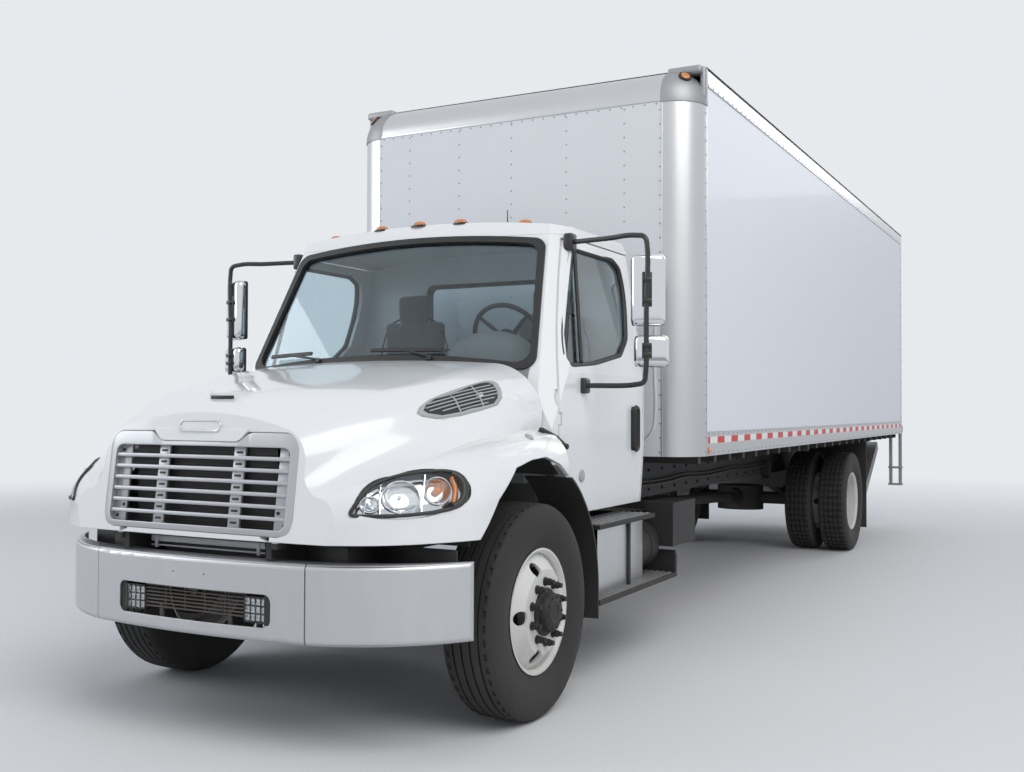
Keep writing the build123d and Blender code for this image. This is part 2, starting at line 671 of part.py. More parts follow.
ROOF_WALL = 30
REAR_HEADER = 130
with BuildPart() as body_roof:
    block(-INNER_HALF + CLEAR, INNER_HALF - CLEAR, SIDE_START, DECK_END,
          BODY_TOP - ROOF_SKIN - ROOF_WALL, BODY_TOP - ROOF_SKIN)
    block(-BODY_HALF, BODY_HALF, SIDE_START, BODY_END, BODY_TOP - ROOF_SKIN, BODY_TOP)
save(body_roof, "body_roof")

REAR_POST = 95
DOOR_SECTIONS = 8
with BuildPart() as body_rear:
    pair_block(BODY_HALF - REAR_POST, BODY_HALF, DECK_END, BODY_END, BODY_BOTTOM, BODY_TOP - ROOF_SKIN)
    block(-BODY_HALF + REAR_POST, BODY_HALF - REAR_POST, DECK_END, BODY_END,
          BODY_TOP - ROOF_SKIN - REAR_HEADER, BODY_TOP - ROOF_SKIN)
    block(-BODY_HALF + REAR_POST, BODY_HALF - REAR_POST, DECK_END, BODY_END,
          BODY_BOTTOM - 60, DECK_TOP)
save(body_rear, "body_rear")

with BuildPart() as body_door:
    door_low = DECK_TOP + CLEAR
    door_high = BODY_TOP - ROOF_SKIN - REAR_HEADER - CLEAR
    door_half = BODY_HALF - REAR_POST - CLEAR
    block(-door_half, door_half, DECK_END + 15, DECK_END + 40, door_low, door_high)
    pitch = (door_high - door_low) / DOOR_SECTIONS
    for index in range(1, DOOR_SECTIONS):
        z = door_low + index * pitch
        block(-door_half, door_half, DECK_END + 36, DECK_END + 40, z - 4, z + 4, mode=Mode.SUBTRACT)
save(body_door, "body_door")


# Cab shell: a section along the truck, closed in front by the bowed and leaning windshield wall
LEAN = math.radians(SCREEN_LEAN)
SCREEN_ORIGIN = (0, FRONT_AXLE + CAB_START, SCREEN_BASE_Z)
SCREEN_ALONG = Plane(
    origin=SCREEN_ORIGIN, x_dir=(1, 0, 0), z_dir=(0, math.sin(LEAN), math.cos(LEAN))
)
SCREEN_FACE = Plane(
    origin=SCREEN_ORIGIN, x_dir=(1, 0, 0), z_dir=(0, -math.cos(LEAN), math.sin(LEAN))
)


def cab_section(inset):
    """Front view of the cab, drawn smaller by a wall."""
    half, shoulder, top = CAB_HALF - inset, CAB_SHOULDER_HALF - inset, CAB_TOP - inset
    with BuildSketch(ACROSS.offset(-CAB_END)) as profile:
        with BuildLine():
            Polyline(
                (-shoulder + 30, top - ROOF_CROWN), (-shoulder, DOOR_TOP + 20), (-half, BELT_Z),
                (-half, 1250), (-half + 22, CAB_BOTTOM), (half - 22, CAB_BOTTOM),
                (half, 1250), (half, BELT_Z), (shoulder, DOOR_TOP + 20), (shoulder - 30, top - ROOF_CROWN),
            )
            ThreePointArc((shoulder - 30, top - ROOF_CROWN), (0, top), (-shoulder + 30, top - ROOF_CROWN))
        make_face()
    return profile.sketch


def screen_slab(front, back, low, high):
    """A bowed sheet that follows the windshield, between two depths behind its face."""
    half = 1300
    bow = SCREEN_ARC_R - math.sqrt(SCREEN_ARC_R**2 - half**2)
    with BuildSketch(SCREEN_ALONG.offset(low)) as profile:
        with BuildLine():
            ThreePointArc((-half, bow + front), (0, front), (half, bow + front))
            Line((half, bow + front), (half, bow + back))
            ThreePointArc((half, bow + back), (0, back), (-half, bow + back))
            Line((-half, bow + back), (-half, bow + front))
        make_face()
    return extrude(profile.sketch, amount=high - low, mode=Mode.PRIVATE)


# The windshield pillars lie in a steep plane through the windshield's side edge
PILLAR_TURN = math.radians(38)
PILLAR_POINT = Vector(957, FRONT_AXLE + 372, 1690)
PILLAR_EDGE = Vector(-111, 330, 710)
PILLAR_NORMAL = Vector(math.sin(PILLAR_TURN), math.cos(PILLAR_TURN), 0).cross(PILLAR_EDGE)


def side_core(inset):
    """The cab's section along its whole length, with both pillar planes cut, inset by a wall."""
    with BuildPart() as core:
        extrude(cab_section(inset), amount=CAB_END - CAB_START + 200)
        with BuildSketch(Plane(origin=PILLAR_POINT, z_dir=PILLAR_NORMAL).offset(-inset)) as cut:
            Rectangle(5000, 5000)
        cutter = extrude(cut.sketch, amount=900, mode=Mode.PRIVATE)
        add(cutter, mode=Mode.SUBTRACT)
        add(mirror(cutter, about=Plane.YZ), mode=Mode.SUBTRACT)
    return core.part


def cab_block(inset, front_inset, back_inset, low):
    """The cab as a closed form, drawn smaller by its walls."""
    with BuildPart() as form:
        add(side_core(inset))
        block(-1300, 1300, CAB_START - 300, CAB_START + front_inset, 800, 2700, mode=Mode.SUBTRACT)
        block(-1300, 1300, CAB_END - back_inset, CAB_END + 100, 800, 2700, mode=Mode.SUBTRACT)
        if low > CAB_BOTTOM:
            block(-1300, 1300, CAB_START - 300, CAB_END + 100, 800, low, mode=Mode.SUBTRACT)
        add(screen_slab(-1500, front_inset, -200, 1300), mode=Mode.SUBTRACT)
    return form.part


CAB_BACK_WALL = 45
CAB_FRONT_WALL = 50
with BuildPart() as outer_form:
    add(cab_block(0, 0, 0, CAB_BOTTOM))
    back_corners = outer_form.edges().filter_by(Axis.Z).sort_by(Axis.Y)[-2:]
    fillet(outer_form.faces().sort_by(Axis.Y)[-1].edges(), 40)
cab_shell = outer_form.part - cab_block(CAB_WALL, CAB_FRONT_WALL, CAB_BACK_WALL, CAB_BOTTOM - 50)


def screen_outline(grow):
    """Rounded outline of the windshield on its leaning face."""
    with BuildSketch(SCREEN_FACE) as outline:
        with BuildLine():
            low, high = SCREEN_LOW - grow, SCREEN_HIGH + grow
            half_low, half_high = SCREEN_HALF_LOW + grow, SCREEN_HALF_HIGH + grow
            ThreePointArc((-half_low, low), (0, low + 40), (half_low, low))
            Line((half_low, low), (half_high, high))
            ThreePointArc((half_high, high), (0, high + 30), (-half_high, high))
            Line((-half_high, high), (-half_low, low))
        make_face()
        fillet(outline.vertices(), 75)
    return outline.sketch


# The door outline: upright front edge, leaning along the windshield pillar, cut low by the arch
DOOR_FRONT = ((DOOR_START, 1480), (487, 1752), (549, 1909), (666, 2175), (775, DOOR_TOP))
DOOR_ARCH = ((800, CAB_BOTTOM), (640, 1012), (DOOR_START, 1195))


def door_outline(gap, rear_gap):
    """The left door seen from its side, grown by the shut gaps."""
    with BuildSketch(SIDE.offset(700)) as outline:
        with BuildLine():
            Polyline(
                (DOOR_START - gap, DOOR_ARCH[2][1] - gap),
                *[(y - gap, z + gap * (z == DOOR_TOP)) for y, z in DOOR_FRONT],
                (DOOR_END + rear_gap, DOOR_TOP + gap),
                (DOOR_END + rear_gap, CAB_BOTTOM - 60 * (gap > 0)),
                (DOOR_ARCH[0][0] - gap, CAB_BOTTOM - 60 * (gap > 0)),
            )
            ThreePointArc(
                (DOOR_ARCH[0][0] - gap, CAB_BOTTOM - 60 * (gap > 0)),
                (DOOR_ARCH[1][0] - gap, DOOR_ARCH[1][1] - gap),
                (DOOR_START - gap, DOOR_ARCH[2][1] - gap),
            )
        make_face()
    return outline.sketch


def window_outline(grow):
    """The door's window seen from its side: sill rising to the rear, front along the pillar."""
    with BuildSketch(SIDE.offset(700)) as outline:
        with BuildLine():
            Polyline(
                (505, 1690), (560, 1865), (673, 2096), (800, 2352), (1330, 2352), (1425, 2310),
                (1447, 2200), (1440, 2080), (1385, 1880), (1250, 1775), (860, 1714), close=True,
            )
        make_face()
        fillet(outline.vertices(), 38)
        if grow:
            offset(amount=grow)
    return outline.sketch


DOOR_DEPTH = 600
door_solid = extrude(door_outline(0, 0), amount=DOOR_DEPTH) - side_core(CAB_WALL)
door_hole = extrude(door_outline(SHUT_GAP, REAR_SHUT_GAP), amount=DOOR_DEPTH)
door_hole = door_hole - side_core(CAB_WALL + SHUT_GAP)
window_hole = extrude(window_outline(0), amount=DOOR_DEPTH)


def screen_prism(grow):
    """The windshield's outline carried through the cab's front."""
    return extrude(screen_outline(grow), amount=400, both=True, mode=Mode.PRIVATE)


screen_hole = screen_prism(0)

# Door hinges: straps on the pillars carry upright pins, and the doors have bores for them
HINGE_X = CAB_HALF - 12
HINGE_Y = DOOR_START + 10
HINGE_PIN_R = 6
HINGE_SWING_R = 21
HINGES = (1240, 1390)
STRAP_HIGH = 56
PIN_REACH = 24


# Side frames: cowl sides, windshield pillars and the posts behind the doors
FRONT_SPLIT = DOOR_START + 70
BACK_SPLIT = CAB_END - CAB_BACK_WALL
ROOF_SPLIT = DOOR_TOP + SHUT_GAP + 22
with BuildPart() as cab_pillars:
    add(cab_shell)
    add(door_hole, mode=Mode.SUBTRACT)
    add(mirror(door_hole, about=Plane.YZ), mode=Mode.SUBTRACT)
    add(screen_hole, mode=Mode.SUBTRACT)
    block(-1300, 1300, CAB_START - 100, CAB_END + 100, ROOF_SPLIT, CAB_TOP + 100, mode=Mode.SUBTRACT)
    inner = CAB_HALF - CAB_WALL - 100
    block(-inner, inner, CAB_START - 100, CAB_START + 200, 800, SCREEN_BASE_Z + 100, mode=Mode.SUBTRACT)
    block(-inner, inner, CAB_START - 100, CAB_END, 800, CAB_BOTTOM + 200, mode=Mode.SUBTRACT)
    block(-1300, 1300, BACK_SPLIT, CAB_END + 100, 800, CAB_TOP, mode=Mode.SUBTRACT)
    # The wheel arch cuts the cab's lower front corners
    arch_z = DOOR_ARCH[2][1] - SHUT_GAP
    block(-1300, 1300, CAB_START - 100, DOOR_ARCH[0][0], 800, arch_z, mode=Mode.SUBTRACT)
    # Room beside the hinge line for the door's front edge as it turns
    for side in (1, -1):
        rod(spot(side * HINGE_X, HINGE_Y, arch_z - 10, (0, 0, 1)), HINGE_SWING_R,
            BELT_Z - 80 - arch_z, mode=Mode.SUBTRACT)
    for low in HINGES:
        pair_block(HINGE_X - 12, CAB_HALF, CAB_START + 60, HINGE_Y + 8, low, low + STRAP_HIGH)
        for side in (1, -1):
            rod(spot(side * HINGE_X, HINGE_Y, low - PIN_REACH, (0, 0, 1)), HINGE_PIN_R,
                STRAP_HIGH + 2 * PIN_REACH)
save(cab_pillars, "cab_pillars")

with BuildPart() as cab_roof:
    add(cab_shell)
    add(screen_hole, mode=Mode.SUBTRACT)
    block(-1300, 1300, CAB_START - 100, CAB_END + 100, 800, ROOF_SPLIT, mode=Mode.SUBTRACT)
save(cab_roof, "cab_roof")

REAR_WINDOW_HALF = 480
REAR_WINDOW_LOW = 1840
REAR_WINDOW_HIGH = 2290
with BuildPart() as cab_back:
    add(cab_shell)
    block(-1300, 1300, CAB_START - 100, CAB_END + 100, ROOF_SPLIT, CAB_TOP + 100, mode=Mode.SUBTRACT)
    block(-1300, 1300, CAB_START - 100, BACK_SPLIT, 800, CAB_TOP, mode=Mode.SUBTRACT)
    add(door_hole, mode=Mode.SUBTRACT)
    add(mirror(door_hole, about=Plane.YZ), mode=Mode.SUBTRACT)
    with BuildSketch(ACROSS.offset(-CAB_END - 100)):
        with Locations((0, (REAR_WINDOW_LOW + REAR_WINDOW_HIGH) / 2)):
            RectangleRounded(2 * REAR_WINDOW_HALF, REAR_WINDOW_HIGH - REAR_WINDOW_LOW, 60)
    extrude(amount=300, mode=Mode.SUBTRACT)
    block(-CAB_HALF + 200, CAB_HALF - 200, CAB_START, CAB_END + 100, 800,
          FLOOR_TOP_Z - FLOOR_WALL, mode=Mode.SUBTRACT)
save(cab_back, "cab_back")

# Floor with its sills and seat boxes, and the wall and cowl in front of the feet
SILL_IN = 170
SILL_BOTTOM = 980
SEAT_X = 500
FLOOR_BOTTOM = FLOOR_TOP_Z - FLOOR_WALL
COWL_HALF = CAB_HALF - CAB_WALL - 100
with BuildPart() as cowl:
    add(cab_shell)
    add(screen_hole, mode=Mode.SUBTRACT)
    block(-1300, -COWL_HALF, CAB_START - 100, CAB_END + 100, 800, 2700, mode=Mode.SUBTRACT)
    block(COWL_HALF, 1300, CAB_START - 100, CAB_END + 100, 800, 2700, mode=Mode.SUBTRACT)
    block(-1300, 1300, CAB_START + 200, CAB_END + 100, 800, 2700, mode=Mode.SUBTRACT)
    block(-1300, 1300, CAB_START - 100, CAB_END, 800, FLOOR_BOTTOM, mode=Mode.SUBTRACT)
    block(-1300, 1300, CAB_START - 100, CAB_END, SCREEN_BASE_Z + 100, 2700, mode=Mode.SUBTRACT)
with BuildPart() as cab_floor:
    wall_start = CAB_START + CAB_FRONT_WALL
    inner = CAB_HALF - CAB_WALL - 30
    block(-COWL_HALF, COWL_HALF, wall_start + 2, FRONT_SPLIT + 100, FLOOR_BOTTOM, FLOOR_TOP_Z)
    block(-inner, inner, FRONT_SPLIT + 100, BACK_SPLIT - CLEAR, FLOOR_BOTTOM, FLOOR_TOP_Z)
    pair_block(inner - SILL_IN, inner, 620, BACK_SPLIT - CLEAR, SILL_BOTTOM, FLOOR_BOTTOM)
    pair_block(SEAT_X - 200, SEAT_X + 200, 1000, 1420, FLOOR_TOP_Z, FLOOR_TOP_Z + 200)
    add(cowl.part)
    block(-COWL_HALF, COWL_HALF, wall_start - 10, wall_start + 20, FLOOR_BOTTOM, FLOOR_TOP_Z)
save(cab_floor, "cab_floor")

# Windshield, rear window and their rubber seals
GLASS_DEPTH = 14
GLASS_LAP = 12
screen_sheet = screen_slab(GLASS_DEPTH, GLASS_DEPTH + GLASS, -100, 1000)
screen_glass = screen_sheet & screen_prism(-GLASS_LAP)
with BuildPart() as cab_glass:
    add(screen_glass)
    with BuildSketch(ACROSS.offset(-CAB_END + 20)):
        with Locations((0, (REAR_WINDOW_LOW + REAR_WINDOW_HIGH) / 2)):
            RectangleRounded(
                2 * (REAR_WINDOW_HALF - GLASS_LAP),
                REAR_WINDOW_HIGH - REAR_WINDOW_LOW - 2 * GLASS_LAP,
                50,
            )
    extrude(amount=GLASS)
save(cab_glass, "cab_glass")

SEAL_PROUD = 10
SEAL_BACK = 12
seal_ring = screen_prism(-CLEAR) - screen_prism(-SEAL_WIDTH)
seal_slab = screen_slab(-SEAL_PROUD, GLASS_DEPTH + GLASS + SEAL_BACK, -100, 1000)
groove = screen_slab(GLASS_DEPTH - CLEAR, GLASS_DEPTH + GLASS + CLEAR, -100, 1000)
groove = groove & screen_prism(CLEAR - GLASS_LAP)
with BuildPart() as window_seals:
    add((seal_slab & seal_ring) - groove)
    with BuildSketch(ACROSS.offset(-CAB_END - 8)):
        with Locations((0, (REAR_WINDOW_LOW + REAR_WINDOW_HIGH) / 2)):
            high = REAR_WINDOW_HIGH - REAR_WINDOW_LOW
            RectangleRounded(2 * REAR_WINDOW_HALF - 2 * CLEAR, high - 2 * CLEAR, 60 - CLEAR)
            RectangleRounded(2 * REAR_WINDOW_HALF - 50, high - 50, 40, mode=Mode.SUBTRACT)
    extrude(amount=40)
    with BuildSketch(ACROSS.offset(-CAB_END + 20 - CLEAR)):
        with Locations((0, (REAR_WINDOW_LOW + REAR_WINDOW_HIGH) / 2)):
            lap = GLASS_LAP - CLEAR
            RectangleRounded(2 * (REAR_WINDOW_HALF - lap), high - 2 * lap, 50 + CLEAR)
    extrude(amount=GLASS + 2 * CLEAR, mode=Mode.SUBTRACT)
save(window_seals, "window_seals")


# Doors: the part of the cab's shell inside the door outline, with the window cut through
HANDLE_Y = (1372, 1424)
HANDLE_Z = (1215, 1495)
HANDLE_PROUD = 16
with BuildPart() as door_left:
    add(cab_shell)
    add(door_solid, mode=Mode.INTERSECT)
    add(window_hole, mode=Mode.SUBTRACT)
    block(CAB_HALF - 8, CAB_HALF + HANDLE_PROUD, *HANDLE_Y, *HANDLE_Z)
    for low in HINGES:
        block(CAB_HALF - 100, CAB_HALF + 20, DOOR_START - 20, HINGE_Y + 22,
              low - 5, low + STRAP_HIGH + 5, mode=Mode.SUBTRACT)
        bore = STRAP_HIGH + 2 * PIN_REACH + 6
        rod(spot(HINGE_X, HINGE_Y, low - PIN_REACH - 3, (0, 0, 1)), HINGE_PIN_R + CLEAR, bore,
            mode=Mode.SUBTRACT)
save(door_left, "door_left")

# Door glass: a sheet inside the window that follows the cab's side
GLASS_IN = 22
side_sheet = side_core(GLASS_IN) - side_core(GLASS_IN + GLASS)
window_inside = extrude(window_outline(-CLEAR), amount=DOOR_DEPTH)
with BuildPart() as door_glass_left:
    add(side_sheet & window_inside)
save(door_glass_left, "door_glass_left")

# Mirrors: a bent tube between two feet on the door carries a tall head and a round-cornered one
MIRROR_TUBE_R = 14
MIRROR_Y = 700
MIRROR_HEADS = (
    # x from, to, z from, to
    (1340, 1520, 1905, 2287),
    (1357, 1539, 1690, 1860),
)
HEAD_TURN = math.radians(22)
HEAD_PLANE = Plane(
    origin=(1422, FRONT_AXLE + MIRROR_Y, 0),
    x_dir=(math.cos(HEAD_TURN), math.sin(HEAD_TURN), 0),
    z_dir=(math.sin(HEAD_TURN), -math.cos(HEAD_TURN), 0),
)
MIRROR_PATH = ((915, 800, 2352), (1430, MIRROR_Y, 2372), (1415, MIRROR_Y, 1600), (1050, 677, 1590))
with BuildPart() as mirror_left:
    with BuildLine() as tube_path:
        FilletPolyline(*[(x, FRONT_AXLE + y, z) for x, y, z in MIRROR_PATH], radius=55)
    start = tube_path.line @ 0
    with BuildSketch(Plane(origin=start, z_dir=tube_path.line % 0)):
        Circle(MIRROR_TUBE_R)
    sweep(path=tube_path.line)
    for x_low, x_high, z_low, z_high in MIRROR_HEADS:
        with BuildSketch(HEAD_PLANE.offset(-88)) as head:
            with Locations(((x_low + x_high) / 2 - HEAD_PLANE.origin.X, (z_low + z_high) / 2)):
                RectangleRounded(x_high - x_low, z_high - z_low, 40)
        extrude(head.sketch, amount=82)
    block(900, 965, 790, 850, 2362, 2398)
    block(1040, 1092, 640, 714, 1550, 1630)
    add(outer_form.part, mode=Mode.SUBTRACT)
save(mirror_left, "mirror_left")

for left, name in ((door_left, "door"), (door_glass_left, "door_glass"), (mirror_left, "mirror")):
    with BuildPart() as right:
        add(mirror(left.part, about=Plane.YZ))
    save(right, f"{name}_right")

# Hood: a loft through sections along the truck
HOOD_ROWS = (
    # y, crown z, then (x, z) of the top's edge, the shoulder, the waist and the fender's side
    (HOOD_END, 1730, (740, 1706), (985, 1560), (1010, 1370), (1172, 1180)),
    (145, 1712, (730, 1686), (972, 1543), (1010, 1366), (FENDER_X, 1178)),
    (-3, 1690, (719, 1664), (955, 1523), (1009, 1358), (FENDER_X, 1165)),
    (-151, 1664, (705, 1636), (931, 1497), (1001, 1345), (FENDER_X, 1140)),
    (-299, 1636, (688, 1604), (902, 1467), (988, 1328), (FENDER_X, 1105)),
    (-447, 1610, (662, 1574), (866, 1434), (975, 1302), (1176, 1070)),
    (-595, 1583, (625, 1542), (822, 1396), (955, 1268), (1160, 1040)),
    (-743, 1552, (577, 1500), (756, 1350), (905, 1228), (1092, 1018)),
    (-891, 1514, (524, 1448), (676, 1296), (815, 1180), (990, 1003)),
    (-1039, 1448, (474, 1378), (590, 1228), (680, 1112), (800, 990)),
    (-1187, 1330, (420, 1270), (490, 1120), (540, 1040), (560, 975)),
)


def hood_section(row, inset):
    """Front view of the hood at one place along it, drawn smaller by its wall."""
    y, crown, top, shoulder, waist, side = row
    points = (
        (top[0] - 0.2 * inset, top[1] - inset),
        (shoulder[0] - 0.8 * inset, shoulder[1] - 0.6 * inset),
        (waist[0] - inset, waist[1] - 0.5 * inset),
        (side[0] - inset, side[1]),
    )
    low = HOOD_BOTTOM - 30 * (inset > 0)
    with BuildSketch(ACROSS.offset(-y)) as profile:
        with BuildLine():
            half, edge = points[0]
            crown_arc = ThreePointArc((-half, edge), (0, crown - inset), (half, edge))
            slope = crown_arc % 1
            for turn in (1, -1):
                here = (turn * half, edge)
                tangent = (turn * slope.X, slope.Y)
                for x, z in points[1:3]:
                    arc = TangentArc(here, (turn * x, z), tangent=tangent)
                    here = (turn * x, z)
                    tangent = arc % 1
                side_x = turn * points[3][0]
                TangentArc((side_x, points[3][1]), here, tangent=(0, 1))
                Line((side_x, points[3][1]), (side_x, low))
            Line((-side_x, low), (side_x, low))
        make_face()
    return profile.sketch


# The inner form is inset more where the hood narrows, so that the wall keeps its thickness
HOOD_INSETS = (HOOD_WALL, HOOD_WALL, HOOD_WALL, HOOD_WALL, HOOD_WALL + 1, HOOD_WALL + 2,
               HOOD_WALL + 5, HOOD_WALL + 9, HOOD_WALL + 14, HOOD_WALL + 20, HOOD_WALL + 26)

NOSE_TILT = math.radians(NOSE_LEAN)
NOSE_ORIGIN = (0, FRONT_AXLE + NOSE_Y - 5, HOOD_PIVOT_Z)
NOSE_ALONG = Plane(
    origin=NOSE_ORIGIN, x_dir=(1, 0, 0), z_dir=(0, math.sin(NOSE_TILT), math.cos(NOSE_TILT))
)
NOSE_FACE = Plane(
    origin=NOSE_ORIGIN, x_dir=(1, 0, 0), z_dir=(0, -math.cos(NOSE_TILT), math.sin(NOSE_TILT))
)
NOSE_ARC_R = 10700
NOSE_WALL = 55


def nose_cutter(depth):
    """Everything in front of the leaning, slightly bowed face of the nose, moved back by a depth."""
    half = 1300
    bow = NOSE_ARC_R - math.sqrt(NOSE_ARC_R**2 - half**2)
    with BuildSketch(NOSE_ALONG.offset(-200)) as profile:
        with BuildLine():
            ThreePointArc((-half, bow + depth), (0, depth), (half, bow + depth))
            Line((half, bow + depth), (half, -600))
            Line((half, -600), (-half, -600))
            Line((-half, -600), (-half, bow + depth))
        make_face()
    return extrude(profile.sketch, amount=1200, mode=Mode.PRIVATE)


with BuildPart() as hood_outer:
    loft([hood_section(row, 0) for row in HOOD_ROWS])
    add(nose_cutter(0), mode=Mode.SUBTRACT)
with BuildPart() as hood_inner:
    inner_rows = ((HOOD_END + 1,) + HOOD_ROWS[0][1:],) + HOOD_ROWS[1:]
    loft([hood_section(row, inset) for row, inset in zip(inner_rows, HOOD_INSETS)])
    add(nose_cutter(NOSE_WALL), mode=Mode.SUBTRACT)
hood_skin = hood_outer.part - hood_inner.part

# Outlines of the headlamps and of the vents in the hood's sides, on their own planes
LAMP_PLANE = Plane(
    origin=(980, FRONT_AXLE - 850, 1120),
    x_dir=(math.sqrt(0.5), math.sqrt(0.5), 0),
    z_dir=(math.sqrt(0.5), -math.sqrt(0.5), 0.15),
)
VENT_PLANE = Plane(origin=(915, FRONT_AXLE - 330, 1514), x_dir=(0, 1, 0), z_dir=(0.75, 0, 0.66))


def lamp_prism(grow):
    """The left headlamp's outline carried through the hood's skin."""
    with BuildSketch(LAMP_PLANE) as outline:
        with BuildLine():
            ThreePointArc((-245, -80), (-205, 10), (-60, 75))
            ThreePointArc((-60, 75), (120, 105), (235, 75))
            ThreePointArc((235, 75), (275, 15), (215, -55))
            ThreePointArc((215, -55), (60, -100), (-245, -80))
        make_face()
        if grow:
            offset(amount=grow)
    return extrude(outline.sketch, amount=150, both=True, mode=Mode.PRIVATE)


def vent_prism(grow):
    """The left vent's outline carried through the hood's skin."""
    with BuildSketch(VENT_PLANE) as outline:
        with BuildLine():
            ThreePointArc((-290, 0), (-40, 72), (246, 76))
            ThreePointArc((246, 76), (292, 50), (290, 4))
            ThreePointArc((290, 4), (30, -34), (-210, -60))
            ThreePointArc((-210, -60), (-275, -42), (-290, 0))
        make_face()
        if grow:
            offset(amount=grow)
    return extrude(outline.sketch, amount=90, both=True, mode=Mode.PRIVATE)


lamp_hole = lamp_prism(CLEAR)
vent_hole = vent_prism(CLEAR)

# Grille outline
GRILLE_HALF = 548
GRILLE_LOW = 27
GRILLE_HIGH = 467
GRILLE_SURROUND = 45
GRILLE_BARS = 7


def grille_outline(grow):
    """The grille seen square to its own face."""
    with BuildSketch(NOSE_FACE) as outline:
        with Locations((0, (GRILLE_LOW + GRILLE_HIGH) / 2)):
            RectangleRounded(
                2 * (GRILLE_HALF + grow), GRILLE_HIGH - GRILLE_LOW + 2 * grow, 80 + grow
            )
    return outline.sketch


ARCH_POINTS = ((-590, HOOD_BOTTOM - 40), (-583, HOOD_BOTTOM), (-442, 1071), (-254, 1202),
               (-100, 1232), (44, 1241), (174, 1200), (HOOD_END + 20, 1124), (HOOD_END + 20, 800))
with BuildPart() as hood:
    add(hood_skin)
    for hole in (lamp_hole, vent_hole):
        add(hole, mode=Mode.SUBTRACT)
        add(mirror(hole, about=Plane.YZ), mode=Mode.SUBTRACT)
    extrude(grille_outline(CLEAR), amount=140, both=True, mode=Mode.SUBTRACT)
    side_prism(ARCH_POINTS, 600, 1400, mode=Mode.SUBTRACT)
    side_prism(ARCH_POINTS, -1400, -600, mode=Mode.SUBTRACT)
    # Notches over the horns, and lugs beside them that turn on the horns' pins
    pair_block(RAIL_X - 42, RAIL_X + 6, HOOD_PIVOT_Y - 45, HOOD_PIVOT_Y + 50,
               HOOD_BOTTOM - 20, HOOD_PIVOT_Z + 35, mode=Mode.SUBTRACT)
    pair_block(RAIL_X + 6, RAIL_X + 34, HOOD_PIVOT_Y - 26, HOOD_PIVOT_Y + 26,
               HOOD_PIVOT_Z - 26, HOOD_PIVOT_Z + 15)
    for side in (1, -1):
        rod(spot(side * RAIL_X, HOOD_PIVOT_Y, HOOD_PIVOT_Z, (side, 0, 0)), PIN_R + CLEAR,
            PIN_LENGTH + 4, mode=Mode.SUBTRACT)
save(hood, "hood")

for prism, name in ((lamp_prism(0), "headlamps"), (vent_prism(0), "hood_vents")):
    piece = (hood_skin & prism).solids().sort_by(SortBy.VOLUME)[-1]
    with BuildPart() as pair:
        add(piece)
        add(mirror(piece, about=Plane.YZ))
    save(pair, name)

GRILLE_DEEP = 58
with BuildPart() as grille:
    extrude(grille_outline(0), amount=-GRILLE_DEEP)
    extrude(grille_outline(-GRILLE_SURROUND), amount=-GRILLE_DEEP - 20, mode=Mode.SUBTRACT)
    bar_pitch = (GRILLE_HIGH - GRILLE_LOW - 2 * GRILLE_SURROUND) / GRILLE_BARS
    with BuildSketch(NOSE_FACE.offset(-10)) as bars:
        for index in range(GRILLE_BARS):
            with Locations((0, GRILLE_LOW + GRILLE_SURROUND + (index + 0.5) * bar_pitch)):
                Rectangle(2 * (GRILLE_HALF - GRILLE_SURROUND) + 10, bar_pitch * 0.52)
    extrude(bars.sketch, amount=-26)
    with BuildSketch(NOSE_FACE.offset(-34)) as posts:
        with Locations((-220, (GRILLE_LOW + GRILLE_HIGH) / 2), (220, (GRILLE_LOW + GRILLE_HIGH) / 2)):
            Rectangle(24, GRILLE_HIGH - GRILLE_LOW - GRILLE_SURROUND)
    extrude(posts.sketch, amount=-12)
    add(nose_cutter(0), mode=Mode.SUBTRACT)
    # Room for the horns' tips when the hood turns
    for side in (1, -1):
        rod(spot(side * (RAIL_X - 42), HOOD_PIVOT_Y, HOOD_PIVOT_Z, (side, 0, 0)), 28, 90,
            mode=Mode.SUBTRACT)
save(grille, "grille")

# Louvred screen behind the bumper's slot, on legs from the bumper's lower lip
LIP_TOP = BUMPER_BOTTOM + BUMPER_WALL + CLEAR
SCREEN_Y = (-1072, -1056)
with BuildPart() as bumper_screen:
    for z in range(580, 680, 16):
        block(-290, 290, SCREEN_Y[0], SCREEN_Y[1], z, z + 7)
    for x in range(-290, 291, 116):
        block(x - 4, x + 4, SCREEN_Y[0] + 5, SCREEN_Y[1], 575, 683)
    pair_block(190, 210, SCREEN_Y[0] + 5, SCREEN_Y[1], LIP_TOP, 600)
save(bumper_screen, "bumper_screen")

# Lamps of the whole truck: fog, roof and marker lamps, rear lamps, and the roof's aerial
FOG_X = 346
ROOF_LAMPS = ((0, 722), (272, 734), (656, 797), (-272, 734), (-656, 797))
ROOF_LAMP_HIGH = 26
AERIAL = (489, 900)
CORNER_LAMP = (1190, 1964, 3577)
SIDE_MARKER = (2167, 1202)
REAR_LAMP_HALF = BODY_HALF - REAR_POST / 2
with BuildPart() as roof_lamps:
    for x, y in ROOF_LAMPS:
        with BuildSketch(PLAN.offset(CAB_TOP - 60)) as foot:
            with Locations((x, y)):
                SlotOverall(110, 62)
        extrude(foot.sketch, amount=60 + ROOF_LAMP_HIGH - ROOF_CROWN * (x / CAB_SHOULDER_HALF) ** 2)
    rod(spot(*AERIAL, CAB_TOP - 60, (0, 0, 1)), 12, 70)
    rod(spot(*AERIAL, CAB_TOP - 60, (0, 0, 1)), 4, 170)
    add(outer_form.part, mode=Mode.SUBTRACT)
    block(-1300, 1300, 500, 1500, 2300, CAB_TOP - 40, mode=Mode.SUBTRACT)
post_solid = body_front_frame.part
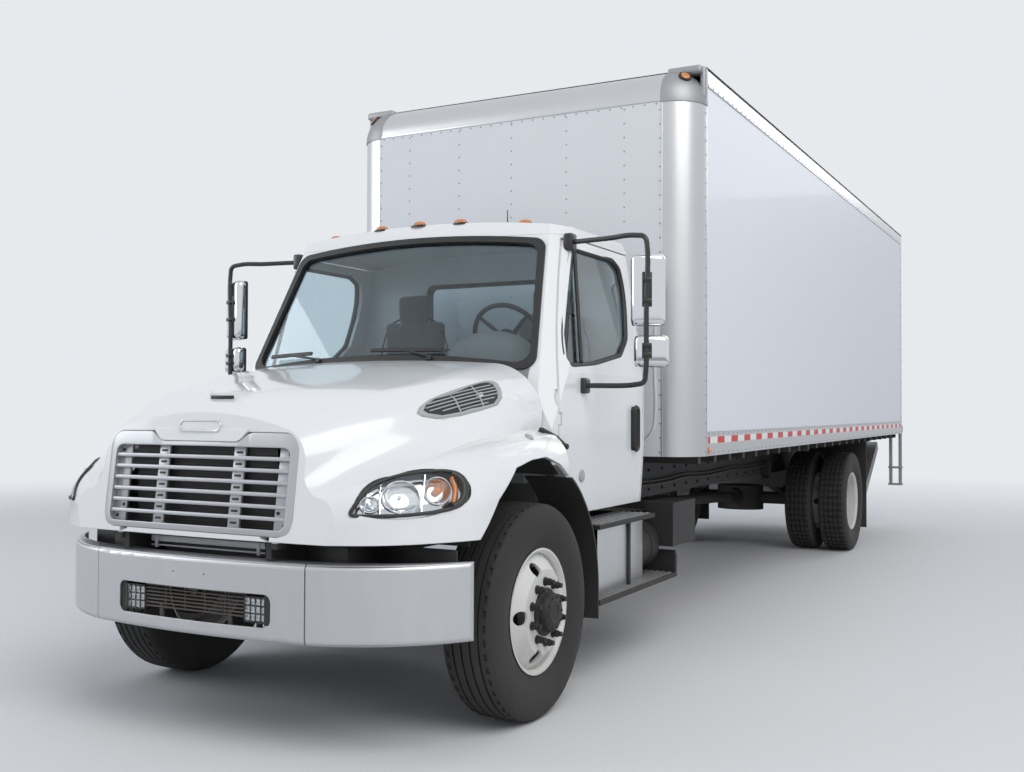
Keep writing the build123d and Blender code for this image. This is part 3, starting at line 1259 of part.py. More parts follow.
with BuildPart() as corner_lamps:
    for side in (1, -1):
        lamp_at = spot(side * CORNER_LAMP[0], CORNER_LAMP[1], CORNER_LAMP[2], (side * 0.55, -0.55, 0.63))
        rod(lamp_at.offset(-6), 36, 24)
    add(post_solid, mode=Mode.SUBTRACT)
with BuildPart() as lamps:
    pair_block(FOG_X - 48, FOG_X + 48, -1081, -1028, 581, 661)
    pair_block(FOG_X - 10, FOG_X + 10, -1060, -1040, LIP_TOP, 590)
    add(roof_lamps.part)
    add(corner_lamps.part)
    pair_block(BODY_HALF, BODY_HALF + 4, SIDE_MARKER[0] - 32, SIDE_MARKER[0] + 32,
               SIDE_MARKER[1] - 14, SIDE_MARKER[1] + 14)
    # Stop and turn lamps in the rear sill, markers over the door
    for x in (REAR_LAMP_HALF - 340, REAR_LAMP_HALF - 480):
        for side in (1, -1):
            rod(spot(side * x, BODY_END, BODY_BOTTOM + 20, (0, 1, 0)), 52, 10)
    for x in (-1200, -150, 0, 150, 1200):
        block(x - 32, x + 32, BODY_END, BODY_END + 8, BODY_TOP - ROOF_SKIN - 80,
              BODY_TOP - ROOF_SKIN - 54)
save(lamps, "lamps")

# Wipers: an arm from a pivot on the windshield seal to a long blade
WIPERS = (
    # pivot x, blade from x, blade to x
    (330, -60, 400),
    (-420, -800, -480),
)
BLADE_LOW = 92
with BuildPart() as wipers:
    with BuildSketch(SCREEN_FACE) as strips:
        for pivot_x, blade_start, blade_end in WIPERS:
            with Locations(((blade_start + blade_end) / 2, BLADE_LOW + 10)):
                Rectangle(blade_end - blade_start, 20)
            middle_x = (blade_start + blade_end) / 2
            with BuildLine():
                Polyline(
                    (pivot_x - 14, 40), (pivot_x + 14, 40), (pivot_x + 14, 62),
                    (middle_x + 10, BLADE_LOW + 12), (middle_x - 10, BLADE_LOW + 4),
                    (pivot_x - 14, 58), close=True,
                )
            make_face()
    strip_prism = extrude(strips.sketch, amount=300, both=True, mode=Mode.PRIVATE)
    add(screen_slab(-24, -14, -100, 400) & strip_prism)
    with BuildSketch(SCREEN_FACE) as pivots:
        with Locations(*[(pivot_x, 52) for pivot_x, blade_start, blade_end in WIPERS]):
            Circle(9)
    pivot_prism = extrude(pivots.sketch, amount=300, both=True, mode=Mode.PRIVATE)
    add(screen_slab(-22, -SEAL_PROUD - CLEAR, -100, 400) & pivot_prism)
save(wipers, "wipers")

# Seats: cushion and back on the seat boxes
SEAT_BOX_TOP = FLOOR_TOP_Z + 200
with BuildPart() as seats:
    pair_block(SEAT_X - 260, SEAT_X + 260, 1010, 1450, SEAT_BOX_TOP + CLEAR, 1455)
    for side in (1, -1):
        with BuildSketch(ACROSS.offset(-1530)):
            with BuildLine():
                Polyline(
                    (side * SEAT_X - 240, 1400), (side * SEAT_X + 240, 1400),
                    (side * SEAT_X + 235, 1960), (side * SEAT_X + 130, 2060),
                    (side * SEAT_X + 120, 2240), (side * SEAT_X - 120, 2240),
                    (side * SEAT_X - 130, 2060), (side * SEAT_X - 235, 1960), close=True,
                )
            make_face()
        extrude(amount=130)
save(seats, "seats")

# Dashboard across the cowl
DASH_HALF = 915
DASH_START = CAB_START + CAB_FRONT_WALL + CLEAR
dash_space = cab_block(CAB_WALL + CLEAR, CAB_FRONT_WALL + CLEAR, CAB_BACK_WALL, CAB_BOTTOM)
with BuildPart() as dash:
    side_prism(
        ((DASH_START, 1390), (DASH_START, 1640), (430, 1668), (560, 1650), (640, 1560), (600, 1400)),
        -DASH_HALF, DASH_HALF,
    )
    add(dash_space, mode=Mode.INTERSECT)
save(dash, "dash")

# Steering wheel with three spokes, on a column that ends at the dashboard
WHEEL_AT = spot(500, 790, 1650, (0, 0.66, 0.75))
COLUMN_FROM = spot(500, 790, 1650, (0, -0.66, -0.75))
STEERING_WHEEL_R = 222
with BuildPart() as steering_wheel:
    with BuildSketch(Plane(origin=WHEEL_AT.origin, x_dir=(1, 0, 0), z_dir=(0, -0.75, 0.66))) as rim:
        with Locations((STEERING_WHEEL_R, 0)):
            Circle(15)
    revolve(rim.sketch, axis=Axis(WHEEL_AT.origin, WHEEL_AT.z_dir))
    with BuildSketch(WHEEL_AT.offset(-8)) as spokes:
        Circle(52)
        with PolarLocations(STEERING_WHEEL_R / 2, 3, start_angle=90):
            Rectangle(STEERING_WHEEL_R, 34)
    extrude(spokes.sketch, amount=14)
    rod(COLUMN_FROM, 42, 34)
    rod(COLUMN_FROM, 26, 320)
    add(dash.part, mode=Mode.SUBTRACT)
    block(400, 600, 200, 500, 1200, 1700, mode=Mode.SUBTRACT)
save(steering_wheel, "steering_wheel")

# Side steps: two treads on posts with arms to the frame, and the guards behind the front wheels
STEP_X = (930, 1180)
STEP_LOWER = (656, 1848, 436, 462)
STEP_UPPER = (654, 1465, 834, 857)
with BuildPart() as cab_steps:
    for y_low, y_high, z_low, z_high in (STEP_LOWER, STEP_UPPER):
        pair_block(*STEP_X, y_low, y_high, z_low, z_high)
    for y in (656, 1050, 1300):
        pair_block(1008, 1030, y, y + 22, 440, 850)
    for y in (657, 1440):
        pair_block(RAIL_X + CLEAR, STEP_X[0] + 20, y, y + 25, STEP_UPPER[2], STEP_UPPER[3])
    side_prism(((1820, 450), (1848, 450), (1848, 560), (1820, 600)), STEP_X[0], STEP_X[1])
    side_prism(((1820, 450), (1848, 450), (1848, 560), (1820, 600)), -STEP_X[1], -STEP_X[0])
save(cab_steps, "cab_steps")

GUARD_WALL = 8
with BuildPart() as mud_flaps:
    for x_low, x_high in ((915, 1180), (-1180, -915)):
        with BuildSketch(SIDE.offset(x_low)):
            with BuildLine():
                outer = ThreePointArc((312, 1130), (520, 930), (640, 560))
                inner = ThreePointArc(
                    (312 - GUARD_WALL, 1122), (520 - GUARD_WALL, 924), (640 - GUARD_WALL, 560)
                )
                Line(outer @ 0, inner @ 0)
                Line(outer @ 1, inner @ 1)
            make_face()
        extrude(amount=x_high - x_low)
    pair_block(915, 1180, 632, 640, 373, 570)
    pair_block(RAIL_X + CLEAR, 930, 553, 600, 866, 886)
    # Flaps behind the rear wheels, hung from a crossmember
    pair_block(590, 1210, 7930, 7940, 170, SILL_TOP - CLEAR)
    pair_block(590, 1210, 7930, 8100, SILL_TOP - 10, SILL_TOP - CLEAR)
save(mud_flaps, "mud_flaps")

# Fuel tank on the left, held to the rail by two straps
with BuildPart() as fuel_tank:
    with BuildSketch(ACROSS.offset(-1325)):
        with Locations((800, 650)):
            RectangleRounded(400, 360, 60)
    extrude(amount=635)
    for y in (780, 1210):
        block(RAIL_X + CLEAR, 700, y, y + 40, 815, 900)
save(fuel_tank, "fuel_tank")

# Air tanks behind the steps, the battery box on the right and the control box on the left
TANK_R = 148
with BuildPart() as air_tanks:
    for side in (1, -1):
        rod(spot(side * 950, 1335, 635, (0, 1, 0)), TANK_R, 423)
    pair_block(RAIL_X + CLEAR, 960, 1540, 1580, 785, 828)
    pair_block(920, 980, 1540, 1580, 760, 828)
    block(1000, 1180, 1775, 2192, 625, 893)
    block(RAIL_X + CLEAR, 1010, 1960, 2000, 830, 880)
    block(-1000, -600, 690, 1180, 470, 828)
    block(-700, -RAIL_X - CLEAR, 900, 940, 810, 900)
save(air_tanks, "air_tanks")

# Exhaust: pipe under the right rail to a silencer beside it
with BuildPart() as exhaust:
    with BuildLine() as pipe:
        FilletPolyline(
            (-240, FRONT_AXLE + 255, 735), (-240, FRONT_AXLE + 1300, 735),
            (-640, FRONT_AXLE + 1300, 735), (-640, FRONT_AXLE + 1920, 735), radius=110,
        )
    with BuildSketch(spot(-240, 255, 735, (0, 1, 0))):
        Circle(38)
    sweep(path=pipe.line)
    rod(spot(-640, 1900, 770, (0, 1, 0)), 130, 1000)
    rod(spot(-640, 2890, 770, (0, 1, 0)), 50, 700)
    for y in (2100, 2700):
        block(-640, -RAIL_X - CLEAR, y, y + 40, 880, 910)
    block(-660, -620, 3300, 3340, 815, 900)
    block(-660, -RAIL_X - CLEAR, 3300, 3340, 880, 900)
save(exhaust, "exhaust")

# Steps at the body's rear corners
REAR_STEP_X = (1130, 1290)
with BuildPart() as rear_steps:
    pair_block(*REAR_STEP_X, BODY_END, BODY_END + STEP_OUT, 1180, 1270)
    for y in (BODY_END + 5, BODY_END + STEP_OUT - 30):
        pair_block(REAR_STEP_X[0] + 10, REAR_STEP_X[0] + 36, y, y + 24, 520, 1190)
        pair_block(REAR_STEP_X[1] - 36, REAR_STEP_X[1] - 10, y, y + 24, 520, 1190)
    for z in (520, 730):
        pair_block(*REAR_STEP_X, BODY_END, BODY_END + STEP_OUT, z, z + 24)
save(rear_steps, "rear_steps")

# Tail lift: a cross tube on the rail ends, two arms on it and the folded platform at their ends
GATE_Y = 9010
GATE_Z = 925
GATE_TUBE_R = 40
GATE_ARM_X = 500
GATE_REACH = (640, 80)
GATE_PIN_R = 13
with BuildPart() as gate_frame:
    rod(spot(-560, GATE_Y, GATE_Z, (1, 0, 0)), GATE_TUBE_R, 1120)
    pair_block(RAIL_X + CLEAR, RAIL_X + 22, 8780, GATE_Y + 20, GATE_Z - 60, RAIL_TOP - 20)
    pair_block(GATE_ARM_X + 40, GATE_ARM_X + 60, GATE_Y - 60, GATE_Y + 60, GATE_Z - 60, GATE_Z + 60)
save(gate_frame, "gate_frame")

arm_end_y = GATE_Y + GATE_REACH[0]
arm_end_z = GATE_Z + GATE_REACH[1]
with BuildPart() as gate_arms:
    for side in (1, -1):
        rod(spot(side * GATE_ARM_X - 20, GATE_Y, GATE_Z, (1, 0, 0)), GATE_TUBE_R + 22, 40)
        rod(spot(side * GATE_ARM_X - 20, arm_end_y, arm_end_z, (1, 0, 0)), 28, 40)
        side_prism(
            ((GATE_Y, GATE_Z - 40), (arm_end_y, arm_end_z - 24), (arm_end_y, arm_end_z + 24),
             (GATE_Y, GATE_Z + 40)),
            side * GATE_ARM_X - 20, side * GATE_ARM_X + 20,
        )
    rod(spot(-GATE_ARM_X, GATE_Y + 300, GATE_Z + 38, (1, 0, 0)), 24, 2 * GATE_ARM_X)
    for side in (1, -1):
        rod(spot(side * GATE_ARM_X - 60, GATE_Y, GATE_Z, (1, 0, 0)), GATE_TUBE_R + CLEAR, 120,
            mode=Mode.SUBTRACT)
        rod(spot(side * GATE_ARM_X - 60, arm_end_y, arm_end_z, (1, 0, 0)), GATE_PIN_R + CLEAR, 120,
            mode=Mode.SUBTRACT)
save(gate_arms, "gate_arms")

PLATFORM_HALF = 1000
PLATFORM_LOW = (9000, 455)
PLATFORM_HIGH = (9860, 1015)
PLATFORM_WALL = 110
with BuildPart() as gate_platform:
    run_y = PLATFORM_HIGH[0] - PLATFORM_LOW[0]
    run_z = PLATFORM_HIGH[1] - PLATFORM_LOW[1]
    length = math.hypot(run_y, run_z)
    across_y = -run_z / length * PLATFORM_WALL
    across_z = run_y / length * PLATFORM_WALL
    # Two leaves folded flat on each other with a thin gap
    for start, end in ((-0.5, -0.04), (0.04, 0.5)):
        side_prism(
            ((PLATFORM_LOW[0] + start * across_y, PLATFORM_LOW[1] + start * across_z),
             (PLATFORM_HIGH[0] + start * across_y, PLATFORM_HIGH[1] + start * across_z),
             (PLATFORM_HIGH[0] + end * across_y, PLATFORM_HIGH[1] + end * across_z),
             (PLATFORM_LOW[0] + end * across_y, PLATFORM_LOW[1] + end * across_z)),
            -PLATFORM_HALF, PLATFORM_HALF,
        )
    side_prism(
        ((PLATFORM_LOW[0] - 0.5 * across_y, PLATFORM_LOW[1] - 0.5 * across_z),
         (PLATFORM_LOW[0] - 0.5 * across_y + 60, PLATFORM_LOW[1] - 0.5 * across_z + 39),
         (PLATFORM_LOW[0] + 0.5 * across_y + 60, PLATFORM_LOW[1] + 0.5 * across_z + 39),
         (PLATFORM_LOW[0] + 0.5 * across_y, PLATFORM_LOW[1] + 0.5 * across_z)),
        -PLATFORM_HALF, PLATFORM_HALF,
    )
    lug_x = GATE_ARM_X + 26
    for side in (1, -1):
        x_low = min(side * lug_x, side * (lug_x + 24))
        side_prism(
            ((arm_end_y - 60, arm_end_z - 110), (arm_end_y + 60, arm_end_z - 40),
             (arm_end_y + 24, arm_end_z + 22), (arm_end_y - 24, arm_end_z + 22)),
            x_low, x_low + 24,
        )
        rod(spot(side * (GATE_ARM_X - 26), arm_end_y, arm_end_z, (side, 0, 0)), GATE_PIN_R, 60)
save(gate_platform, "gate_platform")
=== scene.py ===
# %% [markdown]
# # A box truck, dressed for its picture
# The truck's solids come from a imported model, already in their places and in metres. This lesson
# gives each of them a finish, and adds the small pieces that a picture needs: tyre treads, lamp
# bowls, rivets, rubbers and the cab's inside. +X is the truck's left side and it faces -Y.

# %% Load the truck and keep its size
import math

import bmesh
import bpy
from mathutils import Matrix, Vector
from mathutils.bvhtree import BVHTree


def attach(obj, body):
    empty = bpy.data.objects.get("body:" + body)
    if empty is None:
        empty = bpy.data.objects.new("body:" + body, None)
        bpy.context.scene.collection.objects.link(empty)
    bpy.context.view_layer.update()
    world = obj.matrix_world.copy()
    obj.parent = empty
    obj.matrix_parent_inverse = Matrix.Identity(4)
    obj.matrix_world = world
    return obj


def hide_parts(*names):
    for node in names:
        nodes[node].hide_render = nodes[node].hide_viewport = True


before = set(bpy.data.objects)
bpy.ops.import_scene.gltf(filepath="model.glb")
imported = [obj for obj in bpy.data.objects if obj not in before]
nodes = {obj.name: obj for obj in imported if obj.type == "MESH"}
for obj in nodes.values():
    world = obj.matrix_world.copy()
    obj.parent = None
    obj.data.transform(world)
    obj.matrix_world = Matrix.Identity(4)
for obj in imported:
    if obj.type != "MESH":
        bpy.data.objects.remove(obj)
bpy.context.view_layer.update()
scene = bpy.context.scene
AXLE, REAR_AXLE = -4417.5, 7220

# %% [markdown]
# Lengths on the truck are easiest to read in millimetres from the front axle, as a truck maker
# gives them. One short function turns them into the scene's metres.

# %% Places on the truck
def at(x, y, z):
    """A place in metres from millimetres: across, back from the front axle, and up."""
    return Vector((x, AXLE + y, z)) / 1000


print("front axle", at(0, 0, 0), "rear axle", at(0, REAR_AXLE, 0))

# %% [markdown]
# The photograph was taken from standing height, ahead of the truck's left front corner. The
# camera is set first, so that every later piece can be judged from there.

# %% Camera
VIEW_TURN = math.radians(28.08)
VIEW_RISE = math.radians(1.13)
VIEW_ROLL = math.radians(0.19)
VIEW_AT = at(3512, -4705, 1475)
camera_data = bpy.data.cameras.new("camera")
camera_data.lens = 38.88
camera_data.sensor_width = 36
camera_data.clip_end = 200
camera = bpy.data.objects.new("camera", camera_data)
scene.collection.objects.link(camera)
turn = Matrix.Rotation(VIEW_TURN, 4, "Z") @ Matrix.Rotation(math.pi / 2 + VIEW_RISE, 4, "X")
camera.matrix_world = Matrix.Translation(VIEW_AT) @ turn @ Matrix.Rotation(VIEW_ROLL, 4, "Z")
scene.camera = camera
print("camera", [round(v, 3) for v in camera.location])

# %% [markdown]
# Floor, sky and finishes are node trees. Four helpers add a node, join sockets, and mix numbers or
# colours, so that the cells after them stay short.

# %% Node helpers
def node(owner, kind, settings=None, **values):
    """Add a node; settings are its options, values go to its sockets by name."""
    made = owner.nodes.new(kind)
    for key, value in (settings or {}).items():
        setattr(made, key, value)
    for key, value in values.items():
        made.inputs[key.replace("_", " ")].default_value = value
    return made


def math_node(owner, operation, first, second=None, clamp=False):
    """A Math node whose two operands are sockets or numbers."""
    made = node(owner, "ShaderNodeMath", {"operation": operation, "use_clamp": clamp})
    for slot, operand in zip(made.inputs, (first, second)):
        if isinstance(operand, bpy.types.NodeSocket):
            owner.links.new(operand, slot)
        elif operand is not None:
            slot.default_value = operand
    return made.outputs[0]


def mix_colour(owner, mask, first, second):
    """Two colours mixed by a mask; each may be a socket or a value."""
    made = node(owner, "ShaderNodeMix", {"data_type": "RGBA", "blend_type": "MIX"})
    for slot, operand in ((made.inputs[0], mask), (made.inputs[6], first), (made.inputs[7], second)):
        if isinstance(operand, bpy.types.NodeSocket):
            owner.links.new(operand, slot)
        else:
            slot.default_value = operand
    return made.outputs[2]


def wire(owner, *pairs):
    """Join sockets: each pair is a source and its target."""
    for source, target in pairs:
        owner.links.new(source, target)


print("helpers: node, math_node, mix_colour, wire")

# %% [markdown]
# The set is a pale floor under an even pale grey sky. The grey is shown only to the camera and to
# mirrors and glass, so it adds no light of its own; a weak cool sky lights the truck instead.

# %% Sky
PALE = (0.8, 0.82, 0.85, 1)


def rays_that_see(owner, *kinds):
    """One where a ray of any of these kinds arrives."""
    path = node(owner, "ShaderNodeLightPath").outputs
    found = path["Is Camera Ray"]
    for kind in kinds:
        found = math_node(owner, "MAXIMUM", found, path[kind])
    return found


def either(owner, mask, first, second, output):
    """Show one shader where the mask is zero and another where it is one."""
    choose = node(owner, "ShaderNodeMixShader")
    wire(owner, *zip((mask, first.outputs[0], second.outputs[0]), choose.inputs),
         (choose.outputs[0], owner.nodes[output].inputs["Surface"]))


world = bpy.data.worlds.new("sky")
scene.world = world
world.use_nodes = True
sky = world.node_tree
light_sky = sky.nodes["Background"]
light_sky.inputs["Color"].default_value = (0.86, 0.92, 1.0, 1)
light_sky.inputs["Strength"].default_value = 0.5
seen_sky = node(sky, "ShaderNodeBackground", Color=PALE)
seen = rays_that_see(sky, "Is Transmission Ray", "Is Glossy Ray")
either(sky, seen, light_sky, seen_sky, "World Output")
print("sky nodes", len(sky.nodes))

# %% [markdown]
# The floor is one large matt disc. With the distance from the truck it fades into the sky's grey,
# so no horizon shows.

# %% Floor
SET_RADIUS, FADE_START, FADE_END = 60, 6.5, 17.0
floor_mesh = bmesh.new()
bmesh.ops.create_circle(floor_mesh, cap_ends=True, segments=96, radius=SET_RADIUS)
floor_data = bpy.data.meshes.new("floor")
floor_mesh.to_mesh(floor_data)
floor_mesh.free()
floor = bpy.data.objects.new("floor", floor_data)
scene.collection.objects.link(floor)
floor_look = bpy.data.materials.new("floor_look")
floor_look.use_nodes = True
ground = floor_look.node_tree
matt = ground.nodes["Principled BSDF"]
for word, value in (("Base Color", (0.74, 0.74, 0.75, 1)), ("Roughness", 0.9),
                    ("Specular IOR Level", 0.1)):
    matt.inputs[word].default_value = value
pale = node(ground, "ShaderNodeEmission", Color=PALE)
reach = node(ground, "ShaderNodeVectorMath", {"operation": "LENGTH"})
fade = node(ground, "ShaderNodeMapRange", {"interpolation_type": "SMOOTHSTEP"},
            From_Min=FADE_START, From_Max=FADE_END)
wire(ground, (node(ground, "ShaderNodeTexCoord").outputs["Object"], reach.inputs[0]),
     (reach.outputs["Value"], fade.inputs[0]))
far_seen = math_node(ground, "MULTIPLY", fade.outputs[0], rays_that_see(ground, "Is Transmission Ray"))
either(ground, far_seen, matt, pale, "Material Output")
floor_data.materials.append(floor_look)
print("floor radius", SET_RADIUS, "m, fades from", FADE_START, "to", FADE_END)

# %% [markdown]
# One large soft lamp stands like a bright sky over the truck's left front, and two weaker ones
# light its right side and its back.

# %% Lamps
def soft_lamp(name, place, aim, size, power, colour=(1, 1, 1)):
    """A large square lamp that faces a point."""
    lamp = bpy.data.lights.new(name, "AREA")
    lamp.size = size
    lamp.energy = power
    lamp.color = colour
    made = bpy.data.objects.new(name, lamp)
    made.location = place
    made.rotation_euler = (Vector(aim) - Vector(place)).to_track_quat("-Z", "Y").to_euler()
    scene.collection.objects.link(made)


soft_lamp("key", (9, -9, 11), (0, -1.5, 1.2), 10, 1050, (1.0, 0.985, 0.96))
soft_lamp("fill", (-10, -9, 6), (0, -2, 1.2), 7, 380, (0.94, 0.97, 1.0))
soft_lamp("back", (3, 13, 9), (0, 1, 1.5), 7, 380)
scene.view_settings.view_transform = "Standard"
print("lamps", len(bpy.data.lights))

# %% [markdown]
# ## Finishes
# Real paint and metal are never one even colour. A single node group holds what most surfaces
# here share: slow changes of colour, dust that gathers low down, bright worn edges, a fine grain
# in the surface, and a small rounding of hard edges so that they catch the light.

# %% The weathered surface group
group = bpy.data.node_groups.new("weathered", "ShaderNodeTree")
tree = group.interface
for word, kind, value in (
    ("Color", "NodeSocketColor", (0.5, 0.5, 0.5, 1)),
    ("Roughness", "NodeSocketFloat", 0.5),
    ("Variation", "NodeSocketFloat", 0.06),
    ("Dust", "NodeSocketFloat", 0.2),
    ("Dust Color", "NodeSocketColor", (0.33, 0.3, 0.26, 1)),
    ("Wear", "NodeSocketFloat", 0.0),
    ("Wear Color", "NodeSocketColor", (0.5, 0.5, 0.5, 1)),
    ("Grain Scale", "NodeSocketFloat", 400.0),
    ("Grain Height", "NodeSocketFloat", 0.1),
    ("Edge Radius", "NodeSocketFloat", 0.003),
):
    tree.new_socket(word, in_out="INPUT", socket_type=kind).default_value = value
for word, kind in (("Color", "Color"), ("Roughness", "Float"), ("Normal", "Vector")):
    tree.new_socket(word, in_out="OUTPUT", socket_type="NodeSocket" + kind)
print("weathered group with", len(tree.items_tree), "sockets")

# %% [markdown]
# Inside the group, dust is a mask from two noises and the height above the ground: spray from
# the road reaches the lower metre most.

# %% Noises and dust
given = node(group, "NodeGroupInput").outputs
place = node(group, "ShaderNodeTexCoord").outputs["Object"]
slow = node(group, "ShaderNodeTexNoise", Scale=1.7, Detail=5.0, Roughness=0.6)
streaks = node(group, "ShaderNodeTexNoise", Scale=9.0, Detail=4.0, Roughness=0.62)
stretch = node(group, "ShaderNodeMapping", Scale=(1.0, 1.0, 0.22))
speckle = node(group, "ShaderNodeTexNoise", Scale=60.0, Detail=3.0, Roughness=0.7)
grain = node(group, "ShaderNodeTexNoise", Detail=2.0, Roughness=0.5)
height = node(group, "ShaderNodeSeparateXYZ")
wire(group, *((place, one.inputs["Vector"]) for one in (slow, stretch, speckle, grain, height)),
     (stretch.outputs[0], streaks.inputs["Vector"]), (given["Grain Scale"], grain.inputs["Scale"]))

low_down = node(group, "ShaderNodeMapRange", From_Min=1.5, From_Max=0.15, To_Min=0.12, To_Max=1.0)
wire(group, (height.outputs["Z"], low_down.inputs[0]))
patches = math_node(group, "MULTIPLY", streaks.outputs[0], slow.outputs[0])
patches = math_node(group, "MULTIPLY", patches, 3.4)
dust = math_node(group, "MULTIPLY", patches, low_down.outputs[0])
dust = math_node(group, "MULTIPLY", dust, given["Dust"], clamp=True)
print("nodes for noise and dust", len(group.nodes))

# %% [markdown]
# Worn edges come from the angle between the rounded normal and the true one, broken up by noise.

# %% Worn edges
rounded = node(group, "ShaderNodeBevel", {"samples": 4})
true_normal = node(group, "ShaderNodeNewGeometry")
dot = node(group, "ShaderNodeVectorMath", {"operation": "DOT_PRODUCT"})
wire(group, (given["Edge Radius"], rounded.inputs["Radius"]), (rounded.outputs[0], dot.inputs[0]),
     (true_normal.outputs["Normal"], dot.inputs[1]))
edge = math_node(group, "SUBTRACT", 1.0, dot.outputs["Value"])
edge = math_node(group, "MULTIPLY", edge, 5.0, clamp=True)
edge = math_node(group, "MULTIPLY", edge, math_node(group, "MULTIPLY", speckle.outputs[0], 1.6))
wear = math_node(group, "MULTIPLY", edge, given["Wear"], clamp=True)
print("nodes with the worn edges", len(group.nodes))

# %% [markdown]
# The slow noise tones the colour, then dust and wear are laid over it. Dust is rougher than
# paint, and the fine grain becomes a bump.

# %% Colour, roughness and grain
shade = math_node(group, "SUBTRACT", slow.outputs[0], 0.5)
shade = math_node(group, "MULTIPLY", shade, given["Variation"])
shade = math_node(group, "ADD", math_node(group, "MULTIPLY", shade, 2.0), 1.0)
toned = node(group, "ShaderNodeVectorMath", {"operation": "SCALE"})
wire(group, (given["Color"], toned.inputs[0]), (shade, toned.inputs["Scale"]))
dusty = mix_colour(group, dust, toned.outputs[0], given["Dust Color"])
worn = mix_colour(group, wear, dusty, given["Wear Color"])
rough = math_node(group, "ADD", given["Roughness"], math_node(group, "MULTIPLY", dust, 0.4))
rough = math_node(group, "ADD", rough, math_node(group, "MULTIPLY", shade, 0.05))
rough = math_node(group, "SUBTRACT", rough, 0.05, clamp=True)

bump = node(group, "ShaderNodeBump", Distance=0.002)
raised = math_node(group, "MULTIPLY", grain.outputs[0], given["Grain Height"])
result = node(group, "NodeGroupOutput").inputs
wire(group, (raised, bump.inputs["Height"]), (rounded.outputs[0], bump.inputs["Normal"]),
     (worn, result["Color"]), (rough, result["Roughness"]), (bump.outputs[0], result["Normal"]))
print("nodes in the group", len(group.nodes))

# %% [markdown]
# Each finish is then one Principled shader with its own colour, gloss and metal, fed by the
# group with that finish's amounts of dust, wear and grain.

# %% A finish
def finish(name, colour, roughness, metallic=0.0, coat=0.0, transmission=0.0, ior=1.5, **amounts):
    """A material with the weathered group; amounts set the group's sockets by name."""
    made = bpy.data.materials.new(name)
    made.use_nodes = True
    own = made.node_tree
    shader = own.nodes["Principled BSDF"]
    for word, value in (("Metallic", metallic), ("Coat Weight", coat), ("Coat Roughness", 0.06),
                        ("Transmission Weight", transmission), ("IOR", ior)):
        shader.inputs[word].default_value = value
    shared = node(own, "ShaderNodeGroup", {"node_tree": group})
    shared.inputs["Color"].default_value = (*colour, 1)
    shared.inputs["Roughness"].default_value = roughness
    for key, value in amounts.items():
        value = (*value, 1) if isinstance(value, tuple) else value
        shared.inputs[key.replace("_", " ").title()].default_value = value
    wire(own, (shared.outputs["Color"], shader.inputs["Base Color"]),
         (shared.outputs["Roughness"], shader.inputs["Roughness"]),
         (shared.outputs["Normal"], shader.inputs["Normal"]))
    return made


print("helper: finish")

# %% [markdown]
# Paints come first: the cab's glossy white, the van's duller one, and the dark and silver ones
# below. Bare metals follow.

# %% Paints and metals
RUST = (0.16, 0.075, 0.035)
cab_white = finish("cab_white", (0.83, 0.84, 0.85), 0.24, coat=0.7, variation=0.02, dust=0.1,
                   wear=0.1, grain_scale=260.0, grain_height=0.018, edge_radius=0.006)
panel_white = finish("panel_white", (0.75, 0.775, 0.83), 0.5, coat=0.1, variation=0.02, dust=0.08,
                     grain_scale=2.6, grain_height=0.9, edge_radius=0.002)
front_wall_grey = finish("front_wall_grey", (0.7, 0.72, 0.75), 0.42, variation=0.04, dust=0.12,
                         grain_scale=3.0, grain_height=0.8, edge_radius=0.002)
chassis_black = finish("chassis_black", (0.009, 0.009, 0.01), 0.6, variation=0.25, dust=0.06,
                       wear=0.12, wear_color=(0.13, 0.12, 0.11), grain_scale=180.0, grain_height=0.2)
bumper_silver = finish("bumper_silver", (0.6, 0.61, 0.63), 0.33, metallic=0.7, variation=0.04,
                       dust=0.22, wear=0.2, grain_scale=900.0, grain_height=0.03, edge_radius=0.006)
grille_silver = finish("grille_silver", (0.5, 0.51, 0.53), 0.36, metallic=0.6, variation=0.03,
                       dust=0.12, wear=0.15, grain_scale=900.0, grain_height=0.03, edge_radius=0.006)
alloy = finish("alloy", (0.62, 0.63, 0.64), 0.34, metallic=0.9, variation=0.06, dust=0.14,
               wear=0.1, wear_color=(0.8, 0.8, 0.8), grain_scale=320.0, grain_height=0.06)
cast_alloy = finish("cast_alloy", (0.36, 0.37, 0.38), 0.5, metallic=0.75, variation=0.08,
                    dust=0.2, wear=0.2, grain_scale=160.0, grain_height=0.3)
wheel_white = finish("wheel_white", (0.74, 0.74, 0.73), 0.42, variation=0.06, dust=0.36,
                     wear=0.25, wear_color=RUST, dust_color=(0.3, 0.25, 0.2), grain_height=0.08)
print("paints and metals", len(bpy.data.materials))

# %% [markdown]
# Rubber and plastic differ mostly in gloss and in the size of their grain. The tyres are dusty
# and worn, the cabin's plastic is matt, and the mirrors' plastic shines.

